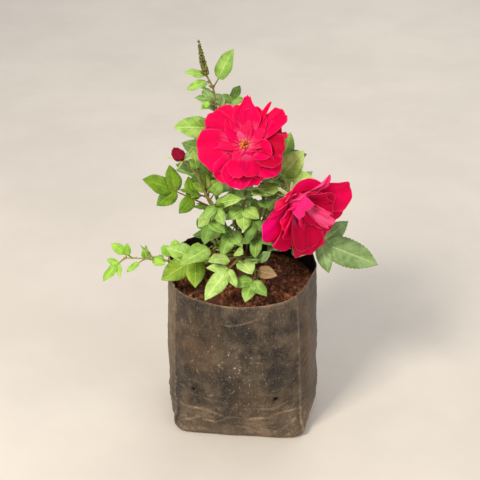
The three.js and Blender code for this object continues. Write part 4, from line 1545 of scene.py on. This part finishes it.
# A petal's tone picks its colour: low tones paint shade with the deep colour on petals that sit in shade,
# and high tones give the petal's own cooler magenta towards its end
def petal(turn, length, width, opens, cup=0.1, roll=6, seat=(2.6, 2.1), tone=0.5, **more):
    return {
        "turn": turn, "length": length, "width": width, "opens": opens, "cup": cup, "roll": roll,
        "seat": seat, "tone": tone, "round": 0.25, "taper": 0, "notch": 0, "ruffle": 1, "twist": 0,
        "fold": 0, "pale": 0, **more,
    }


# How far from the flower's axis a petal is rooted, and how far up it
middleSeat = (2, 3.4)
domeSeat = (2, 4.4)
innerSeat = (1.2, 5)
upperPetals = [
    petal(87, 40, 26, (50, 100), taper=0.72, round=0.1, fold=0.35, cup=0),
    petal(109, 33, 24, (46, 100), notch=0.06),
    petal(128, 36.5, 20, (48, 98), tone=0.45, round=0.12),
    petal(147, 39, 22, (46, 100), tone=0.4, round=0.2),
    petal(163, 35, 20, (46, 100), tone=0.3),
    petal(196, 41.5, 37, (46, 99), round=0.22, tone=0.55, ruffle=1.2),
    petal(223, 36, 18, (50, 102), tone=0.4),
    petal(238, 39, 22, (50, 103), tone=0.6, fold=0.2, cup=0),
    petal(259, 41, 26, (48, 102), tone=0.65, ruffle=1.4),
    petal(284, 38.5, 25, (50, 102), tone=0.62, notch=0.05),
    petal(302, 36, 20, (46, 99)),
    petal(319, 40.5, 26, (46, 99), tone=0.62, ruffle=1.4),
    petal(345, 37.5, 30, (42, 92), tone=0.12, round=0.12, notch=0.06, cup=0.25),
    petal(11, 37, 6, (54, 92), round=0.05, cup=0.5, pale=0.06),
    petal(23, 34, 22, (50, 100), tone=0.1, round=0.1, fold=-0.3),
    petal(37, 43.5, 17, (48, 96), round=0.1, roll=16, twist=10, fold=0.25),
    petal(57, 42, 5, (50, 88), cup=1, taper=0.2, ruffle=0.4),
    petal(67, 33, 22, (44, 94), tone=0.45, ruffle=1.4),
    petal(50, 32, 20, (46, 96), seat=middleSeat, roll=10, fold=-0.2),
    petal(28, 27, 18, (50, 92), seat=middleSeat, tone=0.1, ruffle=1.5),
    petal(74, 27, 18, (50, 96), seat=middleSeat, roll=14),
    petal(100, 31, 20, (52, 98), seat=middleSeat, roll=-10, fold=0.2, cup=0),
    petal(120, 26, 16, (50, 92), seat=middleSeat, tone=0.42, roll=-14, ruffle=1.4),
    petal(134, 31, 18, (54, 98), seat=middleSeat, tone=0.45, roll=9),
    petal(154, 30, 18, (52, 98), seat=middleSeat, roll=-10, notch=0.08),
    petal(174, 33, 18, (54, 98), seat=middleSeat, tone=0.42, roll=12),
    petal(196, 29, 18, (52, 96), seat=middleSeat, roll=-14, ruffle=1.4),
    petal(214, 32, 18, (54, 98), seat=middleSeat, tone=0.45, roll=12),
    petal(233, 29, 15, (50, 94), seat=middleSeat, tone=0.3, roll=-12),
    petal(308, 31, 19, (48, 92), seat=middleSeat, tone=0.2, ruffle=1.3),
    petal(324, 33, 16, (46, 84), seat=middleSeat, tone=0.15, roll=-14),
    petal(259, 36, 21, (34, 86), cup=-0.22, roll=-14, seat=domeSeat, tone=0.4, ruffle=0.5, round=0.35),
    petal(284, 35, 22, (34, 86), cup=-0.22, roll=14, seat=domeSeat, tone=0.32, ruffle=0.5, round=0.35),
    petal(337, 29, 18, (44, 70), cup=0.45, seat=middleSeat, tone=0.62, roll=-10, ruffle=0.6),
    petal(355, 26, 12, (44, 78), seat=middleSeat, tone=0.35, roll=14, ruffle=1.3),
    petal(12, 24, 10, (42, 80), seat=middleSeat, tone=0.2, roll=-16),
    petal(30, 23, 10, (40, 78), seat=innerSeat, roll=18, pale=0.02),
    petal(52, 19, 8, (44, 86), seat=innerSeat, tone=0.52, roll=-14),
    petal(76, 20, 7, (42, 88), seat=innerSeat, tone=0.55, pale=0.04, fold=0.4),
    petal(97, 15, 7, (40, 84), seat=innerSeat, tone=0.55, pale=0.05),
    petal(122, 12, 6, (36, 66), seat=innerSeat, tone=0.6, pale=0.3, roll=16),
    petal(146, 21, 9, (44, 86), seat=innerSeat, roll=-12),
    petal(172, 16, 8, (44, 88), seat=innerSeat, roll=14),
    petal(192, 24, 8, (42, 88), seat=innerSeat, roll=-20, pale=0.02),
    petal(218, 17, 7, (40, 84), seat=innerSeat, pale=0.02, roll=12),
    petal(240, 20, 7, (36, 82), seat=innerSeat, tone=0.55, pale=0.04, fold=0.5),
    petal(300, 15, 8, (38, 84), seat=innerSeat, roll=12),
    petal(325, 14, 7, (36, 78), seat=innerSeat, tone=0.55, pale=0.08),
    petal(352, 19, 8, (38, 80), seat=innerSeat, pale=0.08, fold=0.4),
]

lowerPetals = [
    petal(100, 36, 37, (46, 96), tone=0.72, ruffle=0.5, round=0.42, cup=0.22),
    petal(124, 26, 18, (48, 104)),
    petal(62, 41, 6, (44, 92), cup=0.7, tone=0.7, pale=0.12, ruffle=0.5),
    petal(46, 34, 24, (40, 94)),
    petal(22, 47.5, 33, (42, 96), tone=0.55, round=0.3, ruffle=1.1),
    petal(358, 40, 28, (42, 92), tone=0.3, ruffle=1.4),
    petal(334, 38, 28, (44, 96), tone=0.34, ruffle=1.4),
    petal(308, 38, 28, (42, 94), tone=0.42),
    petal(268, 44, 36, (36, 92), cup=0.3, tone=0.26, ruffle=1.2, round=0.2),
    petal(287, 40, 26, (40, 96), tone=0.38, ruffle=1.3),
    petal(232, 41, 24, (50, 112), ruffle=1.5, fold=0.25),
    petal(206, 43, 38, (50, 118), cup=-0.12, tone=0.92, ruffle=1.3, round=0.3),
    petal(180, 35, 24, (46, 110), tone=0.62, roll=10),
    petal(153, 33, 26, (46, 108), pale=0.06, round=0.35),
    petal(132, 30, 18, (84, -58), cup=0.15, seat=middleSeat, tone=0.6, roll=-12, round=-0.12, notch=0.1),
    petal(108, 24, 22, (62, 40), seat=middleSeat, tone=0.6, roll=6, pale=0.12),
    petal(84, 25, 24, (34, 76), seat=middleSeat, tone=0.6, roll=8, pale=0.06),
    petal(62, 28, 24, (28, 74), seat=middleSeat, tone=0.4),
    petal(40, 33, 26, (30, 80), seat=middleSeat, tone=0.3, roll=-8),
    petal(10, 30, 24, (26, 70), seat=middleSeat, tone=0.22, ruffle=1.3),
    petal(342, 30, 22, (26, 70), seat=middleSeat, tone=0.26, ruffle=1.3),
    petal(316, 26, 20, (30, 80), seat=middleSeat, tone=0.3),
    petal(292, 28, 16, (34, 88), seat=middleSeat, tone=0.34, roll=14),
    petal(264, 38, 34, (34, 84), cup=0.35, seat=middleSeat, tone=0.22, round=0.3, ruffle=0.8),
    petal(236, 27, 14, (28, 88), seat=middleSeat, roll=-14, fold=0.3),
    petal(213, 33, 20, (32, 96), seat=middleSeat, tone=0.55, roll=12, fold=0.2),
    petal(190, 30, 18, (34, 94), seat=middleSeat, roll=-10),
    petal(168, 26, 18, (34, 88), seat=middleSeat, roll=10),
    petal(14, 32, 9, (18, 32), seat=innerSeat, tone=0.55, pale=0.16, roll=14, notch=0.12),
    petal(352, 34, 10, (20, 34), seat=innerSeat, tone=0.55, pale=0.26, fold=0.5),
    petal(330, 33, 9, (20, 34), seat=innerSeat, pale=0.2, roll=-14, notch=0.12),
    petal(302, 20, 9, (14, 60), seat=innerSeat, tone=0.38),
    petal(262, 17, 9, (14, 60), seat=innerSeat, tone=0.22),
    petal(228, 20, 9, (14, 64), seat=innerSeat, tone=0.38, pale=0.04),
    petal(60, 20, 10, (12, 50), seat=innerSeat, tone=0.22),
    petal(95, 20, 10, (12, 54), seat=innerSeat, tone=0.22),
    petal(160, 19, 10, (12, 50), seat=innerSeat, tone=0.3),
]

blooms = [
    {
        "name": "bloom_upper",
        "cane": "upper",
        "facing": (267, 30),
        "drift": (-1.5, 2.6),
        "petals": upperPetals,
    },
    {
        "name": "bloom_lower",
        "cane": "lower",
        "facing": (303, -8),
        "drift": (4, -7),
        "petals": lowerPetals,
    },
]

# The threads round each bloom's middle, with an anther at the end of each
stamens = {
    "count": 34, "seat": (1.2, 5), "lean": (8, 58), "length": (4, 7.5),
    "pull": 0.6, "bow": 0.8, "thread": 0.16, "anther": 0.75,
}

# A petal's width at its claw, how fast it widens, its film, and the grids of wide and narrow ones
petalShape = {
    "claw": 0.12, "wedge": 1.3, "film": 0.35,
    "grid": (16, 18), "small": 14, "smallGrid": (8, 12),
}


# Each skin's deep, bright and cool colours, the pale one of its claw, and its roughness. On the blooms,
# the deep colour paints shade on petals of low tone
petalSkins = {
    "petalFront": ((178, 0, 46), (236, 0, 80), (240, 0, 116), (255, 140, 196), 0.6),
    "petalBack": ((200, 6, 70), (240, 30, 112), (244, 84, 156), (252, 170, 210), 0.65),
    "budPetal": ((92, 0, 20), (148, 4, 44), (190, 16, 66), (120, 50, 40), 0.5),
}


def petalMaterial(name):
    deep, bright, cool, claw, roughness = petalSkins[name]
    material, tree, shader = newMaterial(
        name, roughness, Specular_IOR_Level=0.06, Subsurface_Weight=0.35, Subsurface_Scale=0.002,
    )
    tone = readValue(tree, "tone")
    lines = useGroup(tree, fan)
    # low tones paint shade on the bloom petals that sit in shade
    colour = blend(tree, between(tree, tone, 0.1, 0.5), tint(*deep), tint(*bright))
    cooled = calc(tree, "MULTIPLY", between(tree, tone, 0.5, 1.0), lines["Far"])
    colour = blend(tree, cooled, colour, tint(*cool))
    clouds = useGroup(tree, mottle, Size=90, Low=0.4, High=0.7)["Share"]
    colour = blend(tree, total(tree, (lines["Veins"], 0.2), (clouds, 0.35)), colour, tint(*deep))
    # a painted highlight along each petal's rim
    colour = blend(tree, calc(tree, "MULTIPLY", lines["EdgeHighlight"], 0.15), colour, tint(*claw))
    streaked = total(tree, (lines["Veins"], 0.88), start=0.12)
    pale = total(tree, (lines["Claw"], streaked), start=readValue(tree, "pale"), clamp=True)
    plug(tree, blend(tree, pale, colour, tint(*claw)), shader["Base Color"])
    addBump(tree, shader, lines["Veins"], 0.0002, 0.25)
    return material


# How far out and up a petal has gone, and the way it then leans, as it opens from root to edge
def petalLine(one):
    steps = 24
    first, last = one["opens"]
    line = [(one["seat"][0], 0, math.radians(first))]
    for k in range(1, steps + 1):
        angle = math.radians(mix(first, last, ((k - 0.5) / steps) ** 1.2))
        out, up, lean = line[-1]
        step = one["length"] / steps
        line.append((out + step * math.sin(angle), up + step * math.cos(angle), angle))

    def at(t):
        place = min(1, max(0, t)) * steps
        low = min(steps - 1, int(place))
        return [mix(a, b, place - low) for a, b in zip(line[low], line[low + 1])]

    return at


def addPetal(bm, bloom, one, draw):
    root, axis, right, up = bloom["frame"]
    out = around(right, up, math.radians(one["turn"]))
    side = out.cross(axis)
    at = petalLine(one)
    start = root + axis * one["seat"][1]
    first, second, third = 6.3 * draw(), 6.3 * draw(), 10 * draw()

    def place(across, along):
        x = 2 * across - 1
        grown = math.sin(math.pi / 2 * min(1, along * 1.3)) ** petalShape["wedge"]
        half = one["width"] / 2 * mix(petalShape["claw"], 1, grown)
        half *= 1 - one["taper"] * ease(0.6, 1, along)
        ragged = 0.05 * noise.noise(Vector((x * 2.2 + third, third, 0)))
        ragged += 0.03 * noise.noise(Vector((x * 7, third, 3)))
        t = along * (1 - one["round"] * abs(x) ** 2.4 * along) + ragged * along ** 3
        t -= one["notch"] * bell(x, 0.2) * along ** 4
        far, high, angle = at(t)
        edge = along ** 2
        rolled = math.tan(math.radians(one["roll"] + one["twist"] * along))
        lift = half * (one["cup"] * x * x + rolled * x + one["fold"] * abs(x))
        lift += one["ruffle"] * edge * (math.sin(x * 4 + first) + 0.6 * math.sin(x * 9 + second))
        lift += 0.5 * one["ruffle"] * math.sin(math.pi * along) * math.sin(x * 7 + second) * grown
        spot = start + out * (far - math.cos(angle) * lift) + axis * (high + math.sin(angle) * lift)
        return spot + side * half * x + bloom["pull"] * along ** 1.5

    grid = petalShape["grid" if one["width"] > petalShape["small"] else "smallGrid"]
    spots = sheet(bm, *grid, place)
    setValue(bm, "tone", {vert: one["tone"] for vert in spots})
    setValue(bm, "pale", {vert: one["pale"] for vert in spots})


def addStamen(bm, bloom, draw):
    root, axis, right, up = bloom["frame"]
    lean = math.radians(mix(*stamens["lean"], draw()))
    out = around(right, up, math.radians(360 * draw()))
    start = root + axis * stamens["seat"][1] + out * stamens["seat"][0]
    end = start + around(axis, out, lean) * mix(*stamens["length"], draw())
    end += bloom["pull"] * stamens["pull"]
    line = bowed(start, (start + end) / 2 + axis * stamens["bow"], end)
    tube(bm, line, 0, 1, lambda at, turn: stamens["thread"], 5, 4)
    made = bmesh.ops.create_icosphere(bm, subdivisions=1, radius=stamens["anther"])["verts"]
    shape = Matrix.Translation(end) @ Matrix.Diagonal((1, 0.7, 1.2, 1))
    bmesh.ops.transform(bm, matrix=shape, verts=made)


def makeBlooms():
    sides = [petalMaterial("petalFront"), petalMaterial("petalBack")]
    anther, tree, shader = newMaterial("anther", 0.7)
    grains = useGroup(tree, mottle, Size=1500, Low=0.4, High=0.6)["Share"]
    plug(tree, blend(tree, grains, tint(236, 150, 60), tint(196, 98, 34)), shader["Base Color"])
    for index, bloom in enumerate(blooms):
        name = bloom["name"]
        axis = direction(*bloom["facing"])
        up = squaredTo(upright, axis)
        right = up.cross(axis)
        bloom["frame"] = (hipTop(stemOf(bloom["cane"]), 1), axis, right, up)
        bloom["pull"] = right * bloom["drift"][0] + up * bloom["drift"][1]
        draw = seeded(7001 + index)
        bm = newShape("tone", "pale")
        for one in bloom["petals"]:
            addPetal(bm, bloom, one, draw)
        piece = makePiece(f"{name}_petals", bm, sides, [name], closed=False)
        addWall(piece, "petal", petalShape["film"], back=1)
        smooth = piece.modifiers.new("soft", "SUBSURF")
        smooth.levels = 1
        smooth.render_levels = 1
        bm = newShape()
        for k in range(stamens["count"]):
            addStamen(bm, bloom, draw)
        makePiece(f"{name}_stamens", bm, [anther], [name])


makeBlooms()
print("blooms done")


# The bud: petals wrapped round each other

rosebud = {
    "radius": 5.6,
    "length": 13,
    "wraps": 6,
    "reach": 105,
    "swell": [(0, 0.3), (0.22, 0.92), (0.45, 1), (0.75, 0.8), (0.94, 0.4), (1, 0.12)],
    "grid": (16, 14),
    "film": 0.4,
}


def makeBud():
    stem = stemOf("bud")
    axis = stem.along(1)
    base = hipTop(stem, carried["bud"]["size"]) + axis * 0.3
    first = squaredTo(upright, axis)
    second = axis.cross(first)
    profile = rosebud["swell"]

    def swell(t):
        for (low, thin), (high, thick) in zip(profile, profile[1:]):
            if t <= high:
                return mix(thin, thick, ease(low, high, t))
        return profile[-1][1]

    bm = newShape("tone", "pale")
    for k in range(rosebud["wraps"]):
        middle = math.radians(goldenTurn * k)
        inner = 1 - 0.1 * (rosebud["wraps"] - k) / rosebud["wraps"]
        tall = rosebud["length"] * (1 - 0.035 * k)

        def place(across, along):
            x = 2 * across - 1
            turn = middle + x * math.radians(rosebud["reach"]) * (1 - 0.35 * along)
            top = along * (1 - 0.12 * x * x)
            radius = rosebud["radius"] * swell(top) * inner * (1 + 0.1 * max(0, x) * along)
            return base + axis * tall * top + around(first, second, turn) * radius

        spots = sheet(bm, *rosebud["grid"], place)
        setValue(bm, "tone", {vert: 0.3 + 0.06 * k for vert in spots})
    skin = petalMaterial("budPetal")
    piece = makePiece("bud_petals", bm, [skin], ["flower_bud"], closed=False)
    addWall(piece, "petal", rosebud["film"])


makeBud()
print("bud done")


# The seed head: small pods in whorls up a thin axis

seedHead = {"radius": 3.5, "length": 29, "whorls": 11, "pods": 6, "facing": (184, 80)}


def makeSeedHead():
    base = stemOf("spike").at(1)
    axis = direction(*seedHead["facing"])
    first = squaredTo(Vector((1, 0, 0)), axis)
    second = axis.cross(first)
    tip = base + axis * seedHead["length"]
    line = Route(lambda t: base + (tip - base) * t, 10)
    bm = newShape()
    tube(bm, line, 0, 1, lambda at, turn: mix(0.95, 0.25, at), 8, 12)
    draw = seeded(911)
    for k in range(seedHead["whorls"]):
        share = k / seedHead["whorls"]
        size = seedHead["radius"] * (1 - 0.7 * share ** 1.3)
        for j in range(seedHead["pods"]):
            turn = 2 * math.pi * (j / seedHead["pods"] + 0.5 * (k % 2)) + draw()
            centre = line.at(share + 0.04 * draw()) + around(first, second, turn) * size * 0.55
            made = bmesh.ops.create_icosphere(bm, subdivisions=2, radius=size * 0.45)["verts"]
            shape = Matrix.Diagonal((0.8 + 0.3 * draw(), 0.8 + 0.3 * draw(), 1 + 0.3 * draw(), 1))
            bmesh.ops.transform(bm, matrix=Matrix.Translation(centre) @ shape, verts=made)
    for face in bm.faces:
        face.smooth = True
    husk, tree, shader = newMaterial("husk", 0.8)
    patches = useGroup(tree, mottle, Size=420, Low=0.35, High=0.65)["Share"]
    plug(tree, blend(tree, patches, tint(122, 122, 50), tint(70, 64, 26)), shader["Base Color"])
    addBump(tree, shader, patches, 0.0004)
    makePiece("seed_pods", bm, [husk], ["seed_spike"])


makeSeedHead()
print("seed head done")
